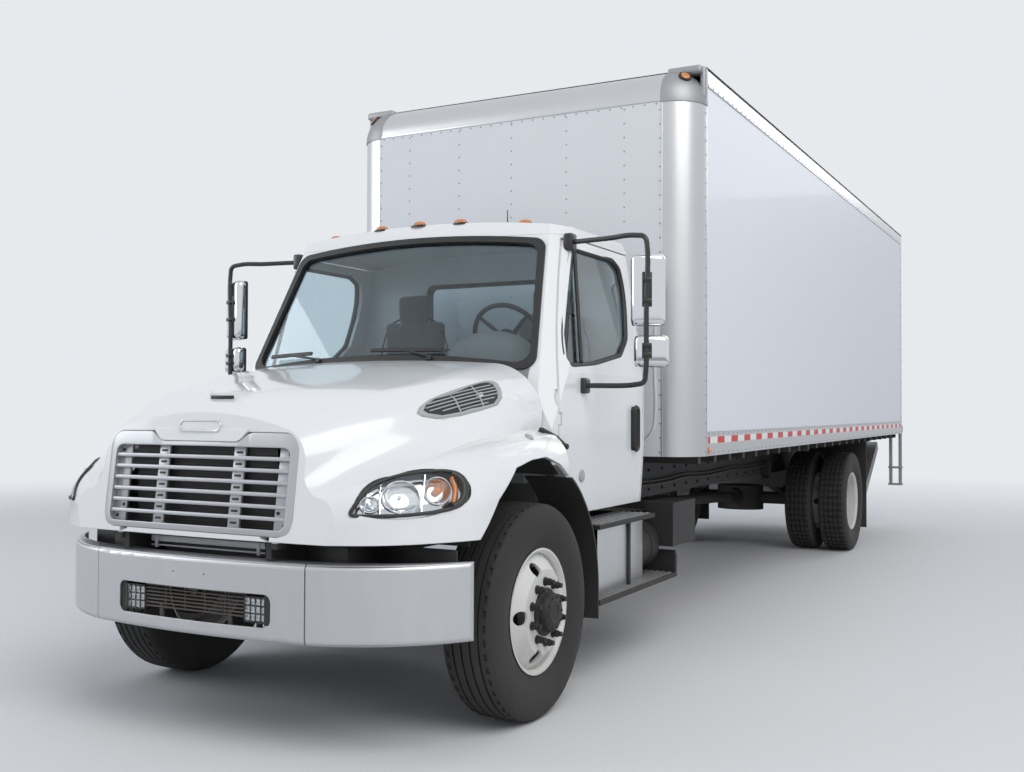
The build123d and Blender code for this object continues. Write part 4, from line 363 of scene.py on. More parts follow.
# %% Rubber, plastic and dark parts
tyre_rubber = finish("tyre_rubber", (0.014, 0.014, 0.015), 0.76, variation=0.2, dust=0.16,
                     dust_color=(0.16, 0.145, 0.13), wear=0.2, wear_color=(0.07, 0.07, 0.068),
                     grain_scale=300.0, grain_height=0.16, edge_radius=0.002)
black_rubber = finish("black_rubber", (0.014, 0.014, 0.015), 0.5, variation=0.15, dust=0.1,
                      grain_scale=500.0, grain_height=0.08, edge_radius=0.003)
cabin_grey = finish("cabin_grey", (0.27, 0.27, 0.275), 0.66, variation=0.05, dust=0.05,
                    grain_scale=900.0, grain_height=0.34, edge_radius=0.004)
steel_dark = finish("steel_dark", (0.02, 0.019, 0.018), 0.65, metallic=0.3, variation=0.3, dust=0.14,
                    wear=0.4, wear_color=RUST, grain_scale=120.0, grain_height=0.5)
black_plastic = finish("black_plastic", (0.014, 0.014, 0.015), 0.4, variation=0.08, dust=0.08,
                       grain_scale=900.0, grain_height=0.14, edge_radius=0.002)
mirror_black = finish("mirror_black", (0.016, 0.016, 0.017), 0.3, coat=0.3, variation=0.08,
                      dust=0.08, grain_scale=700.0, grain_height=0.05)
chrome = finish("chrome", (0.75, 0.76, 0.78), 0.07, metallic=1.0, variation=0.02, dust=0.04,
                grain_scale=8.0, grain_height=0.06, edge_radius=0.002)
mirror_face = finish("mirror_face", (0.82, 0.85, 0.87), 0.03, metallic=1.0, variation=0.01, dust=0.02,
                     grain_height=0.0, edge_radius=0.001)
core_grey = finish("core_grey", (0.05, 0.05, 0.055), 0.55, metallic=0.5, variation=0.2, dust=0.2,
                   grain_scale=500.0, grain_height=0.4)
screen_brown = finish("screen_brown", (0.05, 0.04, 0.034), 0.6, variation=0.15, dust=0.2)
vent_grey = finish("vent_grey", (0.4, 0.42, 0.42), 0.5, variation=0.05, dust=0.1, grain_scale=800.0,
                   grain_height=0.1)
print("finishes so far", len(bpy.data.materials))

# %% [markdown]
# Glass and lamp lenses keep a plain transmission on the shader. The windows are a little blue,
# amber and red lenses get their fine ribs from a wave texture.

# %% Glass and lenses
window_glass = finish("window_glass", (0.72, 0.82, 0.86), 0.02, transmission=1.0, ior=1.45,
                      variation=0.02, dust=0.03, grain_scale=3.0, grain_height=0.03, edge_radius=0.0005)
lens_clear = finish("lens_clear", (0.93, 0.95, 0.96), 0.03, transmission=1.0, ior=1.12, coat=0.5,
                    variation=0.01, dust=0.03, grain_height=0.01, edge_radius=0.001)


def ribbed_lens(name, colour, pitch=0.006):
    """A coloured plastic lens with moulded ribs."""
    made = finish(name, colour, 0.16, transmission=0.25, coat=0.8, variation=0.04, dust=0.06,
                  grain_height=0.0, edge_radius=0.002)
    own = made.node_tree
    source = node(own, "ShaderNodeTexCoord").outputs["Object"]
    ribs = node(own, "ShaderNodeTexWave", {"bands_direction": "X", "wave_profile": "SIN"},
                Scale=0.314 / pitch)
    raised = node(own, "ShaderNodeBump", Strength=0.5, Distance=0.002)
    wire(own, (source, ribs.inputs["Vector"]), (ribs.outputs[1], raised.inputs["Height"]),
         (own.nodes["Group"].outputs["Normal"], raised.inputs["Normal"]),
         (raised.outputs[0], own.nodes["Principled BSDF"].inputs["Normal"]))
    return made


lens_amber = ribbed_lens("lens_amber", (0.85, 0.24, 0.02))
lens_red = ribbed_lens("lens_red", (0.55, 0.015, 0.012))
lens_white = ribbed_lens("lens_white", (0.85, 0.86, 0.86), pitch=0.008)
print("lenses", lens_amber.name, lens_red.name, lens_white.name)

# %% [markdown]
# Three finishes have a pattern of their own: the striped safety tape, the planks of the load
# floor and the woven seat cover. Each colour pattern is mixed in before the group weathers it.

# %% Helpers for patterns
def coordinate(own, source, axis):
    """One coordinate of a place, in metres."""
    parts = node(own, "ShaderNodeSeparateXYZ")
    wire(own, (source, parts.inputs[0]))
    return parts.outputs[axis]


def pattern_colour(material, make_mask, first, second):
    """Feed the weathered group with two colours mixed by a mask that make_mask builds."""
    own = material.node_tree
    mask = make_mask(own, node(own, "ShaderNodeTexCoord").outputs["Object"])
    first = first if isinstance(first, bpy.types.NodeSocket) else (*first, 1)
    colour = mix_colour(own, mask, first, (*second, 1))
    wire(own, (colour, own.nodes["Group"].inputs["Color"]))


def stripes_along(axis, pitch, share):
    """A mask maker: bands along one axis, each share of a pitch wide."""
    def make(own, source):
        moved = math_node(own, "ADD", coordinate(own, source, axis), 50.0)
        turns = math_node(own, "FRACT", math_node(own, "DIVIDE", moved, pitch))
        return math_node(own, "LESS_THAN", turns, share)
    return make


def below(level):
    """A mask maker: one under a height in metres, zero over it."""
    return lambda own, source: math_node(own, "LESS_THAN", coordinate(own, source, "Z"), level)


def weave(own, source):
    """A mask maker: crossed threads two millimetres apart."""
    threads = [node(own, "ShaderNodeTexWave", {"bands_direction": way}, Scale=160.0) for way in "XZ"]
    wire(own, *((source, thread.inputs["Vector"]) for thread in threads))
    return math_node(own, "MULTIPLY", threads[0].outputs[1], threads[1].outputs[1])


print("helpers: coordinate, pattern_colour, stripes_along, below, weave")

# %% [markdown]
# The tape has stripes of half its pitch, and the planks have narrow dark gaps. Below the planks,
# the floor's steel is dark.

# %% Patterned finishes
tape = finish("tape", (0.8, 0.8, 0.8), 0.4, coat=0.1, variation=0.03, dust=0.04, grain_scale=420.0,
              grain_height=0.08, edge_radius=0.0005)
pattern_colour(tape, stripes_along("Y", 0.305, 0.5), (0.82, 0.82, 0.82), (0.6, 0.012, 0.008))
floor_wood = finish("floor_wood", (0.3, 0.19, 0.1), 0.55, variation=0.25, dust=0.25, grain_scale=60.0,
                    grain_height=0.5)
pattern_colour(floor_wood, stripes_along("X", 0.03, 0.93), (0.06, 0.04, 0.025), (0.3, 0.19, 0.1))
SILL_TOP = 1.235
planks = floor_wood.node_tree.nodes["Group"].inputs["Color"].links[0].from_socket
pattern_colour(floor_wood, below(SILL_TOP), planks, (0.02, 0.02, 0.022))
seat_cloth = finish("seat_cloth", (0.15, 0.15, 0.16), 0.9, variation=0.15, dust=0.05, grain_scale=700.0,
                    grain_height=0.6, edge_radius=0.004)
pattern_colour(seat_cloth, weave, (0.12, 0.12, 0.13), (0.22, 0.22, 0.235))
seat_cloth.node_tree.nodes["Principled BSDF"].inputs["Sheen Weight"].default_value = 0.3
print("patterned", tape.name, floor_wood.name, seat_cloth.name)

# %% [markdown]
# The solids that stay as they are get their finishes now: each one's material slots are cleared and
# given one finish. A node's material slots are the only thing about it that may change.

# %% Finishes of the truck's own solids
OWN_FINISH = (
    (cab_white, "hood hood_vents cab_pillars cab_roof cab_back door_left door_right"),
    (chassis_black, "frame cab_steps air_tanks gate_frame gate_arms"),
    (steel_dark, "front_axle knuckle_left knuckle_right tie_rod springs rear_axle powertrain exhaust"),
    (wheel_white, "front_wheel_left front_wheel_right rear_wheels_left rear_wheels_right"),
    (alloy, "body_rails body_front_frame body_roof body_rear fuel_tank"),
    (cast_alloy, "rear_steps gate_platform"), (panel_white, "body_sides body_door"),
    (front_wall_grey, "body_front"), (floor_wood, "body_floor"), (core_grey, "radiator"),
    (bumper_silver, "bumper"), (screen_brown, "bumper_screen"), (grille_silver, "grille"),
    (window_glass, "cab_glass door_glass_left door_glass_right"), (lens_clear, "headlamps"),
    (black_rubber, "window_seals mud_flaps"), (black_plastic, "wipers steering_wheel"),
    (cabin_grey, "cab_floor dash"), (mirror_black, "mirror_left mirror_right"),
)
finished = set()
for material, names in OWN_FINISH:
    for name in names.split():
        slots = nodes[name].data.materials
        slots.clear()
        slots.append(material)
        finished.add(name)
print("finished nodes", len(finished), "left for pieces", sorted(set(nodes) - finished))

# %% [markdown]
# ## Helpers for new pieces
# Every new piece is a bmesh shaped with operators: bars from a cube, rods from a cone with equal
# ends, and lathed shapes from a spun section. Their edges are bevelled, because no made edge is
# perfectly sharp.

# %% Bars
SIDES = ((1, "left"), (-1, "right"))


def soften(mesh, edges, width, segments=2):
    """Bevel some edges; the width is in millimetres."""
    bmesh.ops.bevel(mesh, geom=edges, offset=width / 1000, affect="EDGES", segments=segments,
                    profile=0.5, material=-1)


def bar(mesh, low, high, soft=2.0, segments=2):
    """A bar between two corners in millimetres from the axle, with soft edges."""
    low, high = at(*low), at(*high)
    new = bmesh.ops.create_cube(mesh, size=1.0)["verts"]
    bmesh.ops.scale(mesh, vec=high - low, verts=new)
    bmesh.ops.translate(mesh, vec=(low + high) / 2, verts=new)
    if soft:
        soften(mesh, list({e for v in new for e in v.link_edges}), soft, segments)


def side_bar(mesh, side, low, high, **options):
    """A bar on the side given by 1 or -1, from the corners that it has on the left."""
    near, far = sorted((side * low[0], side * high[0]))
    bar(mesh, (near, *low[1:]), (far, *high[1:]), **options)


def twin_bars(mesh, low, high, **options):
    """The same bar on both sides."""
    for side in (1, -1):
        side_bar(mesh, side, low, high, **options)


print("helpers: soften, bar, side_bar, twin_bars")

# %% [markdown]
# Round things are rods and lathed shapes. A lathed shape is a section of distances along an axis
# and radii about it.

# %% Rods and lathed shapes
ORIGIN = Vector((0, 0, 0))


def rod(mesh, start, end, radius, tip=None, sides=20, soft=1.0):
    """A round bar from start to end, both in metres; tip is the radius at its end."""
    run = end - start
    tip = radius if tip is None else tip
    stand = run.to_track_quat("Z", "Y").to_matrix().to_4x4()
    new = bmesh.ops.create_cone(
        mesh, cap_ends=True, segments=sides, radius1=radius / 1000, radius2=tip / 1000,
        depth=run.length, matrix=Matrix.Translation((start + end) / 2) @ stand,
    )["verts"]
    rims = {e for v in new for e in v.link_edges if any(len(f.verts) > 4 for f in e.link_faces)}
    soften(mesh, list(rims), soft, 1)


def lathe(mesh, section, centre=ORIGIN, axis=(0, 0, 1), steps=32):
    """Spin a section of (along, radius) in millimetres about an axis through a centre."""
    axis = Vector(axis).normalized()
    out = axis.orthogonal().normalized()
    line = [mesh.verts.new(centre + (axis * a + out * r) / 1000) for a, r in section]
    runs = [mesh.edges.new(pair) for pair in zip(line, line[1:])]
    bmesh.ops.spin(mesh, geom=line + runs, cent=centre, axis=axis, angle=math.tau, steps=steps,
                   use_merge=True, use_duplicate=False)


print("helpers: rod, lathe")

# %% [markdown]
# A shape can be made at the origin, changed there, and then stood in its place and joined to
# others.

# %% Placing and joining
def stood(mesh, centre, direction):
    """Move a mesh made at the origin, facing up, to a centre and turn it to face a direction."""
    stand = Vector(direction).to_track_quat("Z", "Y").to_matrix().to_4x4()
    bmesh.ops.transform(mesh, matrix=Matrix.Translation(centre) @ stand, verts=mesh.verts)


def drawn_out(mesh, axis, half):
    """Part a round shape in its middle, so that it becomes a long oval."""
    for vert in mesh.verts:
        vert.co[axis] += math.copysign(half, vert.co[axis]) if abs(vert.co[axis]) > 1e-4 else 0


def join(mesh, new):
    """Move everything of one bmesh into another."""
    holder = bpy.data.meshes.new("part")
    new.to_mesh(holder)
    new.free()
    mesh.from_mesh(holder)
    bpy.data.meshes.remove(holder)


print("helpers: stood, drawn_out, join")

# %% [markdown]
# A finished mesh has its doubled points merged and its faces turned outwards, and its object stays at
# the origin with its place in its mesh, as the truck's own solids have it.


def piece(name, mesh, material, body="chassis", sharp=35, replaces=()):
    """Make the object, give it its finish and tie it to the body that carries it."""
    bmesh.ops.remove_doubles(mesh, verts=mesh.verts, dist=1e-6)
    bmesh.ops.recalc_face_normals(mesh, faces=mesh.faces)
    data = bpy.data.meshes.new(name)
    mesh.to_mesh(data)
    mesh.free()
    data.materials.append(material)
    data.shade_smooth()
    data.set_sharp_from_angle(angle=math.radians(sharp))
    made = bpy.data.objects.new(name, data)
    scene.collection.objects.link(made)
    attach(made, body)
    if replaces:
        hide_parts(*replaces)
    print(name, len(data.polygons), "faces on", body)
    return made


# %% [markdown]
# Tubes, mouldings and wires are curves with a round section, turned into a mesh.

# %% Tubes
def tube(name, points, radius, material, body="chassis", closed=False):
    """A bent round bar, pipe or moulding along points in metres."""
    curve = bpy.data.curves.new(name, "CURVE")
    curve.dimensions = "3D"
    curve.bevel_depth = radius / 1000
    curve.bevel_resolution = 4
    curve.resolution_u = 6
    curve.use_fill_caps = True
    line = curve.splines.new("BEZIER")
    line.bezier_points.add(len(points) - 1)
    for handle, point in zip(line.bezier_points, points):
        handle.co = point
        handle.handle_left_type = handle.handle_right_type = "AUTO"
    line.use_cyclic_u = closed
    holder = bpy.data.objects.new(name + "_line", curve)
    data = bpy.data.meshes.new_from_object(holder)
    bpy.data.objects.remove(holder)
    shaped = bmesh.new()
    shaped.from_mesh(data)
    bpy.data.meshes.remove(data)
    return piece(name, shaped, material, body)


print("helper: tube")

# %% [markdown]
# Some pieces lie on a curved solid, such as slats on a vent. A ray shot at that solid finds the
# place of its surface, so the piece follows the form without a measured table.

# %% Surface finder
def surface_of(name):
    """A search tree of one of the truck's solids."""
    shape = bmesh.new()
    shape.from_mesh(nodes[name].data)
    found = BVHTree.FromBMesh(shape)
    shape.free()
    return found


def on_surface(found, start, toward):
    """Where a ray from start first meets a solid, and the surface's direction there."""
    return found.ray_cast(start, Vector(toward).normalized())[:2]


skin = surface_of("door_left")
print("door skin at the handle", on_surface(skin, at(1300, 1300, 1350), (-1, 0, 0))[0])

# %% [markdown]
# ## Tyres
# A truck tyre is a round section with grooves, spun about the axle. The steering tyres have
# plain ribs with small cuts at the shoulders, the driving tyres have cuts across every rib.

# %% Tyre section
TYRE_R = 512
TREAD_HALF = 104
TREAD_STEPS = 100
GROOVES = (-66, -22, 22, 66)


def crown(x):
    """The tread's radius at one place across it."""
    return TYRE_R - 1.2 - 3.5 * (x / TREAD_HALF) ** 2


def tyre_section():
    """The tyre's section as (across, radius), with four grooves in the tread."""
    side = [(101, 286), (108, 290), (111, 306), (126, 340), (136, 385), (139, 425), (136, 456),
            (129, 482), (122, 495), (112, 503), (TREAD_HALF, 507)]
    tread = []
    for groove in reversed(GROOVES):
        top, foot = crown(groove), crown(groove) - 13
        tread += [(groove + 5.5, top), (groove + 4, foot), (groove - 4, foot), (groove - 5.5, top)]
        tread += [(groove - 20, crown(groove - 20))]
    return side + [(88, 508.5)] + tread + [(-x, r) for x, r in reversed(side)]


print("points in the tyre's section", len(tyre_section()))

# %% [markdown]
# The cuts are made by insetting the rib faces of every other step and sinking them.

# %% Tyres with a tread
def tread_tyre(name, centre_x, y, body, cut_all):
    """One tyre, closed at the beads, with cuts in its ribs."""
    mesh = bmesh.new()
    middle = at(centre_x, y, TYRE_R)
    lathe(mesh, tyre_section() + [(101, 286)], middle, (1, 0, 0), steps=TREAD_STEPS)
    bmesh.ops.remove_doubles(mesh, verts=mesh.verts, dist=1e-6)
    bmesh.ops.recalc_face_normals(mesh, faces=mesh.faces)
    ribs = []
    for face in mesh.faces:
        spot = face.calc_center_median() - middle
        radius = math.hypot(spot.y, spot.z) * 1000
        step = int(math.atan2(spot.z, spot.y) / math.tau * TREAD_STEPS + 2 * TREAD_STEPS + 0.5)
        shoulder = abs(spot.x) * 1000 > 86
        if radius > 505 and step % 2 == 0 and (shoulder or cut_all) and face.calc_area() > 1.4e-4:
            ribs.append(face)
    bmesh.ops.inset_individual(mesh, faces=ribs, thickness=0.0035, depth=-0.008)
    node_name = name.rsplit("_", 1)[0] if name[-1] in "io" else name
    return piece(name, mesh, tyre_rubber, body, sharp=28, replaces=(node_name,))


for side, word in SIDES:
    tread_tyre(f"front_tyre_{word}", side * 1040, 0, f"front_wheel_{word}", False)
    tread_tyre(f"rear_tyres_{word}_o", side * 1080, REAR_AXLE, f"rear_wheels_{word}", True)
    tread_tyre(f"rear_tyres_{word}_i", side * 737, REAR_AXLE, f"rear_wheels_{word}", True)

# %% [markdown]
# ## Wheels
# Ten long nuts hold each wheel to its hub. They are six-sided rods on thick washers, set round a
# circle. The hub's cover is lathed, with a ring of small screws, and a brake drum fills the dark
# space that shows through the hand holes.

# %% Helpers for nuts and hubs
def round_axle(x, y, radius, angle):
    """A point beside a wheel's axis, in metres; angle in turns."""
    return at(x, y + radius * math.cos(angle * math.tau), TYRE_R + radius * math.sin(angle * math.tau))


def wheel_metal(name, side, y, face, end, body):
    """Nuts and hub cover of one wheel."""
    mesh = bmesh.new()
    out = Vector((side, 0, 0))
    for index in range(10):
        foot = round_axle(side * face, y, 142.9, (index + 0.5) / 10)
        small = round_axle(side * (end - 4), y, 74, index / 10)
        for start, low, high, radius, sides, soft in (
            (foot, 0, 0.007, 21, 16, 1), (foot, 0.007, 0.034, 17, 6, 1.5),
            (foot, 0.034, 0.05, 12, 12, 1.5), (small, 0, 0.012, 6.5, 6, 0.8),
        ):
            rod(mesh, start + out * low, start + out * high, radius, sides=sides, soft=soft)
    high = end - face
    cover = [(0, 112), (9, 112), (13, 104), (16, 93), (high - 10, 92), (high + 1, 86), (high + 4, 62),
             (high + 8, 56), (high + 8, 38), (high + 4, 34), (high + 4, 0)]
    lathe(mesh, cover, at(side * face, y, TYRE_R), (side, 0, 0), steps=40)
    return piece(name, mesh, chassis_black, body, sharp=30)


print("helpers: round_axle, wheel_metal")

# %% [markdown]
# Each front and rear wheel gets its nuts and cover, and the brake drum rides with it.

# %% Hubs and drums
for side, word in SIDES:
    wheel_metal(f"front_hub_{word}", side, 0, 1181, 1231, f"front_wheel_{word}")
    wheel_metal(f"rear_hub_{word}", side, REAR_AXLE, 920.5, 1050, f"rear_wheels_{word}")
    for name, y, start, end in (("front_drum", 0, 990, 1090), ("rear_drum", REAR_AXLE, 800, 900)):
        drum = bmesh.new()
        lathe(drum, [(0, 60), (0, 196), (6, 204), (94, 204), (100, 196), (100, 60)],
              at(side * start, y, TYRE_R), (side, 0, 0), steps=40)
        carrier = f"front_wheel_{word}" if y == 0 else f"rear_wheels_{word}"
        piece(f"{name}_{word}", drum, steel_dark, carrier)

# %% [markdown]
# ## Headlamps
# Behind each clear lens lies a bright reflector with walls between its chambers: a narrow one
# inside, a wide dish in the middle, and a round turn lamp with an amber strip beside it. A black
# rubber runs round the edge. The base is a copy of the lens pushed inwards, so it has its curve.

# %% Places on a headlamp
LAMP_AT = at(980, -850, 1120)
LAMP_X = Vector((1, 1, 0)).normalized()
LAMP_OUT = Vector((math.sqrt(0.5), -math.sqrt(0.5), 0.15)).normalized()
LAMP_Y = LAMP_OUT.cross(LAMP_X)
LAMP_END = ((196, 86), (232, 62), (244, 20), (224, -36), (184, -58))
LAMP_EDGE = ((-256, -86), (-246, -60), (-221, -27), (-190, 8), (-158, 36), (-74, 72), (10, 90),
             (100, 99), (195, 98), (240, 80), (262, 45), (262, 5), (236, -45), (190, -68), (123, -82),
             (30, -93), (-51, -98), (-130, -98), (-212, -95), (-245, -92))
front_skins = [surface_of("headlamps"), surface_of("hood")]


def flip(point, side):
    """The same point on the truck's left or right side."""
    return Vector((point.x * side, point.y, point.z))


def nearest_hit(skins, start, toward):
    """The first place where a ray meets any of several solids."""
    hits = [on_surface(skin, start, toward) for skin in skins]
    hits = [pair for pair in hits if pair[0]]
    return min(hits, key=lambda pair: (pair[0] - start).length) if hits else (None, None)


def lamp_point(u, v, side, out=0.0):
    """A point on the lens, from its own plane's millimetres; out is along the lens's direction."""
    plain = LAMP_AT + (LAMP_X * u + LAMP_Y * v) / 1000
    hit, normal = nearest_hit(front_skins, plain + LAMP_OUT * 0.3, -LAMP_OUT)
    return flip((hit or plain) + LAMP_OUT * out / 1000, side)


print("lens middle", [round(v, 3) for v in lamp_point(0, 0, 1)])

# %% [markdown]
# A lamp's bowl is two lathed shapes, the dish with its rim and the bulb. A wall is the hull of
# eight points between two places on the lens's edge.

# %% Bowls and walls
def bowl(mesh, centre, direction, radius, deep, wide=1.0):
    """A dished reflector that faces a direction, with a rim and a bulb; wide stretches it along X."""
    new = bmesh.new()
    dish = [(-deep * a, radius * r) for a, r in ((1, 0), (0.94, 0.3), (0.7, 0.62), (0.35, 0.87))]
    lathe(new, dish + [(0, radius), (3, radius), (3, radius + 4), (-4, radius + 5)], steps=28)
    lathe(new, [(-deep * a, r) for a, r in ((1, 8), (0.4, 8), (0.2, 6), (0.1, 0))], steps=12)
    bmesh.ops.scale(new, vec=(wide, 1, 1), verts=new.verts)
    stood(new, centre, direction)
    join(mesh, new)


def lamp_wall(mesh, side, top, bottom, thick):
    """An upright wall in the lamp, from a point near its upper edge to one near its lower edge."""
    corners = [mesh.verts.new(lamp_point(u + along, v, side, out)) for along in (-thick / 2, thick / 2)
               for u, v in (top, bottom) for out in (-10, -48)]
    bmesh.ops.convex_hull(mesh, input=corners)


print("helpers: bowl, lamp_wall")

# %% [markdown]
# Everything in a lamp is placed by lamp_point, and flip gives the right side's twin of it.

# %% Headlamp insides
for side, word in SIDES:
    facing = flip(LAMP_OUT, side)
    tube(f"lamp_rubber_{word}", [lamp_point(u * 0.975, v * 0.95, side, 1) for u, v in LAMP_EDGE], 8,
         black_rubber, "hood", closed=True)
    end_line = [lamp_point(u, v, side, -8) for u, v in LAMP_END]
    tube(f"lamp_end_{word}", end_line, 15, black_plastic, "hood")
    bowls = bmesh.new()
    for spot, size in (((-38, -14, side, -28), (64, 34, 1.18)), ((126, 10, side, -30), (56, 36)),
                       ((-168, -44, side, -26), (30, 20, 1.3))):
        bowl(bowls, lamp_point(*spot), facing, *size)
    for top, bottom, thick in (((-116, 48), (-132, -86), 5), ((78, 84), (44, -82), 5),
                               ((-176, 12), (-196, -82), 4)):
        lamp_wall(bowls, side, top, bottom, thick)
    piece(f"lamp_bowls_{word}", bowls, chrome, "hood")
    amber = [lamp_point(u, v, side, -17) for u, v in ((192, 66), (202, 20), (190, -42))]
    tube(f"lamp_amber_{word}", amber, 11, lens_amber, "hood")
    glow = bmesh.new()
    bmesh.ops.create_uvsphere(glow, u_segments=20, v_segments=12, radius=0.02)
    bmesh.ops.translate(glow, vec=lamp_point(126, 10, side, -40), verts=glow.verts)
    piece(f"lamp_bulb_{word}", glow, lens_amber, "hood")

base = bmesh.new()
base.from_mesh(nodes["headlamps"].data)
bmesh.ops.remove_doubles(base, verts=base.verts, dist=1e-5)
BASE_DEPTH = 0.056
for vert in base.verts:
    vert.co -= flip(LAMP_OUT, 1 if vert.co.x > 0 else -1) * BASE_DEPTH
piece("lamp_base", base, chrome, "hood")

# %% [markdown]
# ## Hood details
# Each vent has a raised leaf-shaped frame round a dark opening with slats. Its outline is drawn on
# a leaning plane, and rays carry it to the hood's skin.

# %% Helpers for the side vents
VENT_AT = at(915, -330, 1500)
VENT_OUT = Vector((0.75, 0, 0.66)).normalized()
VENT_UP = Vector((-0.66, 0, 0.75)).normalized()
VENT_EDGE = ((-222, 28), (-206, 6), (-132, -27), (-1, -45), (140, -46), (262, -40), (318, -10),
             (350, 40), (356, 78), (336, 100), (290, 107), (184, 105), (70, 98), (-33, 88), (-120, 76),
             (-190, 54))
vent_skins = [surface_of("hood_vents"), surface_of("hood")]


def vent_point(u, v, side, out):
    """A point over the vent's plane, carried to the hood and lifted by out."""
    plain = VENT_AT + (Vector((0, u, 0)) + VENT_UP * v) / 1000
    hit, normal = nearest_hit(vent_skins, plain + VENT_OUT * 0.3, -VENT_OUT)
    return flip((hit or plain) + VENT_OUT * out / 1000, side)


VENT_MIDDLE, VENT_STEPS = (75, 30), 3


def vent_loop(mesh, side, shrink, out):
    """One closed loop of vertices along the vent's outline, drawn in by shrink millimetres."""
    mid_u, mid_v = VENT_MIDDLE
    loop = []
    for (u0, v0), (u1, v1) in zip(VENT_EDGE, VENT_EDGE[1:] + VENT_EDGE[:1]):
        for share in (step / VENT_STEPS for step in range(VENT_STEPS)):
            u, v = u0 + (u1 - u0) * share - mid_u, v0 + (v1 - v0) * share - mid_v
            part = 1 - shrink * (1 + abs(u) / 300) / math.hypot(u, v)
            loop.append(mesh.verts.new(vent_point(mid_u + u * part, mid_v + v * part, side, out)))
    return loop


def bands(mesh, loops):
    """Faces between closed loops that have as many vertices each."""
    for a, b in zip(loops, loops[1:]):
        for i in range(len(a)):
            j = (i + 1) % len(a)
            mesh.faces.new((a[i], a[j], b[j], b[i]))


def inner_edge(v):
    """How far the opening reaches along the vent at one height, in millimetres."""
    return -168 + 0.04 * (v - 30) ** 2, 320 - 0.03 * (v - 45) ** 2


print("helpers: vent_point, vent_loop, bands, inner_edge")

# %% [markdown]
# The frame is a band of six loops, and the opening is a dark sheet drawn in from them: painted
# shade in place of the dark space behind the vent. Slats and ribs are thin tubes over it.

# %% Vent frames, openings and slats
for side, word in SIDES:
    frame_ring = bmesh.new()
    bands(frame_ring, [vent_loop(frame_ring, side, shrink, out)
                       for shrink, out in ((0, -2), (1, 4), (4, 8), (15, 9), (18, 7), (19, -2))])
    piece(f"vent_frame_{word}", frame_ring, vent_grey, "hood", sharp=50)
    # The opening's black sheet is painted shade, laid on the hood's skin where the vent's hollow would
    # be.
    opening = bmesh.new()
    rings = [vent_loop(opening, side, shrink, 1.5) for shrink in (18, 28, 38, 48, 56, 63)]
    bands(opening, rings)
    bmesh.ops.contextual_create(opening, geom=rings[-1])
    piece(f"vent_opening_shade_{word}", opening, black_plastic, "hood")
    for row in range(6):
        v = -17 + row * 18
        first, last = inner_edge(v)
        first += max(0, 22 - v) * 2.2
        line = [vent_point(first + (last - first) * k / 6, v, side, 4) for k in range(7)]
        tube(f"vent_slat_{word}_{row}", line, 3.6, vent_grey, "hood")
    for column, u in enumerate((10, 165)):
        line = [vent_point(u + 0.1 * v, v, side, 5) for v in (-30, 10, 50, 90)]
        tube(f"vent_rib_{word}_{column}", line, 4.6, vent_grey, "hood")

# %% [markdown]
# The grille is drawn again with six thin bars in front of its frame, as the picture has it. Its
# outline is a rounded rectangle with a dip in the upper edge, which the hood's nose fills. All of
# it is built flat, then bowed a little and leaned back with the nose.

# %% Bars on the nose's plane
NOSE_AT = at(0, -1105, 905)
NOSE_LEAN = math.radians(7.5)
NOSE_UP = Vector((0, math.sin(NOSE_LEAN), math.cos(NOSE_LEAN)))
NOSE_OUT = Vector((0, -math.cos(NOSE_LEAN), math.sin(NOSE_LEAN)))
NOSE_TURN = Matrix.Translation(NOSE_AT) @ Matrix.Rotation(-NOSE_LEAN, 4, "X")
NOSE_BOW = 10.7


def nose_bar(mesh, x_low, x_high, low, high, front, back, soft=1.5, cuts=0):
    """A bar on the nose's plane: across, up along it, and behind it, in millimetres."""
    new = bmesh.new()
    bmesh.ops.create_cube(new, size=1.0)
    size = Vector((x_high - x_low, back - front, high - low)) / 1000
    middle = Vector((x_high + x_low, back + front, high + low)) / 2000
    bmesh.ops.scale(new, vec=size, verts=new.verts)
    bmesh.ops.translate(new, vec=middle, verts=new.verts)
    if soft:
        soften(new, new.edges[:], soft)
    if cuts:
        half = 0.5 * (x_high - x_low) / 1000
        along = [e for e in new.edges if abs((e.verts[0].co - e.verts[1].co).x) > half]
        bmesh.ops.subdivide_edges(new, edges=along, cuts=cuts)
    join(mesh, new)


def on_nose(mesh):
    """Bow a flat grille part and lean it back into its place."""
    for vert in mesh.verts:
        vert.co.y += vert.co.x ** 2 / (2 * NOSE_BOW)
    bmesh.ops.transform(mesh, matrix=NOSE_TURN, verts=mesh.verts)
    return mesh


print("helpers: nose_bar, on_nose")

# %% [markdown]
# The surround's corners are rounded by a curve between two points of its sides, and an inset
# draws the loop towards the grille's middle.

# %% Loops on the nose's plane
GRILLE_MIDDLE = Vector((0, 235))


def outline_loop(mesh, corners, soft, depth, inset=0.0):
    """A closed loop on the nose's plane through corners, each rounded by its own radius."""
    loop = []
    for index, (x, up) in enumerate(corners):
        here = Vector((x, up))
        back = (Vector(corners[index - 1]) - here).normalized()
        ahead = (Vector(corners[(index + 1) % len(corners)]) - here).normalized()
        first, last = here + back * soft[index], here + ahead * soft[index]
        for step in range(7):
            t = step / 6
            spot = first * (1 - t) ** 2 + here * 2 * t * (1 - t) + last * t ** 2
            pull = GRILLE_MIDDLE - spot
            inwards = math.copysign(min(inset, abs(pull.x)), pull.x), math.copysign(inset, pull.y)
            spot = spot + Vector(inwards)
            loop.append(mesh.verts.new((spot.x / 1000, depth / 1000, spot.y / 1000)))
    return loop


def mid_points(mesh, loops):
    """Bands between loops, cut across the long runs so that they can bow."""
    bands(mesh, loops)
    long_edges = [e for e in mesh.edges if abs(e.verts[0].co.x - e.verts[1].co.x) > 0.15]
    bmesh.ops.subdivide_edges(mesh, edges=long_edges, cuts=7, use_grid_fill=True)


print("helpers: outline_loop, mid_points")

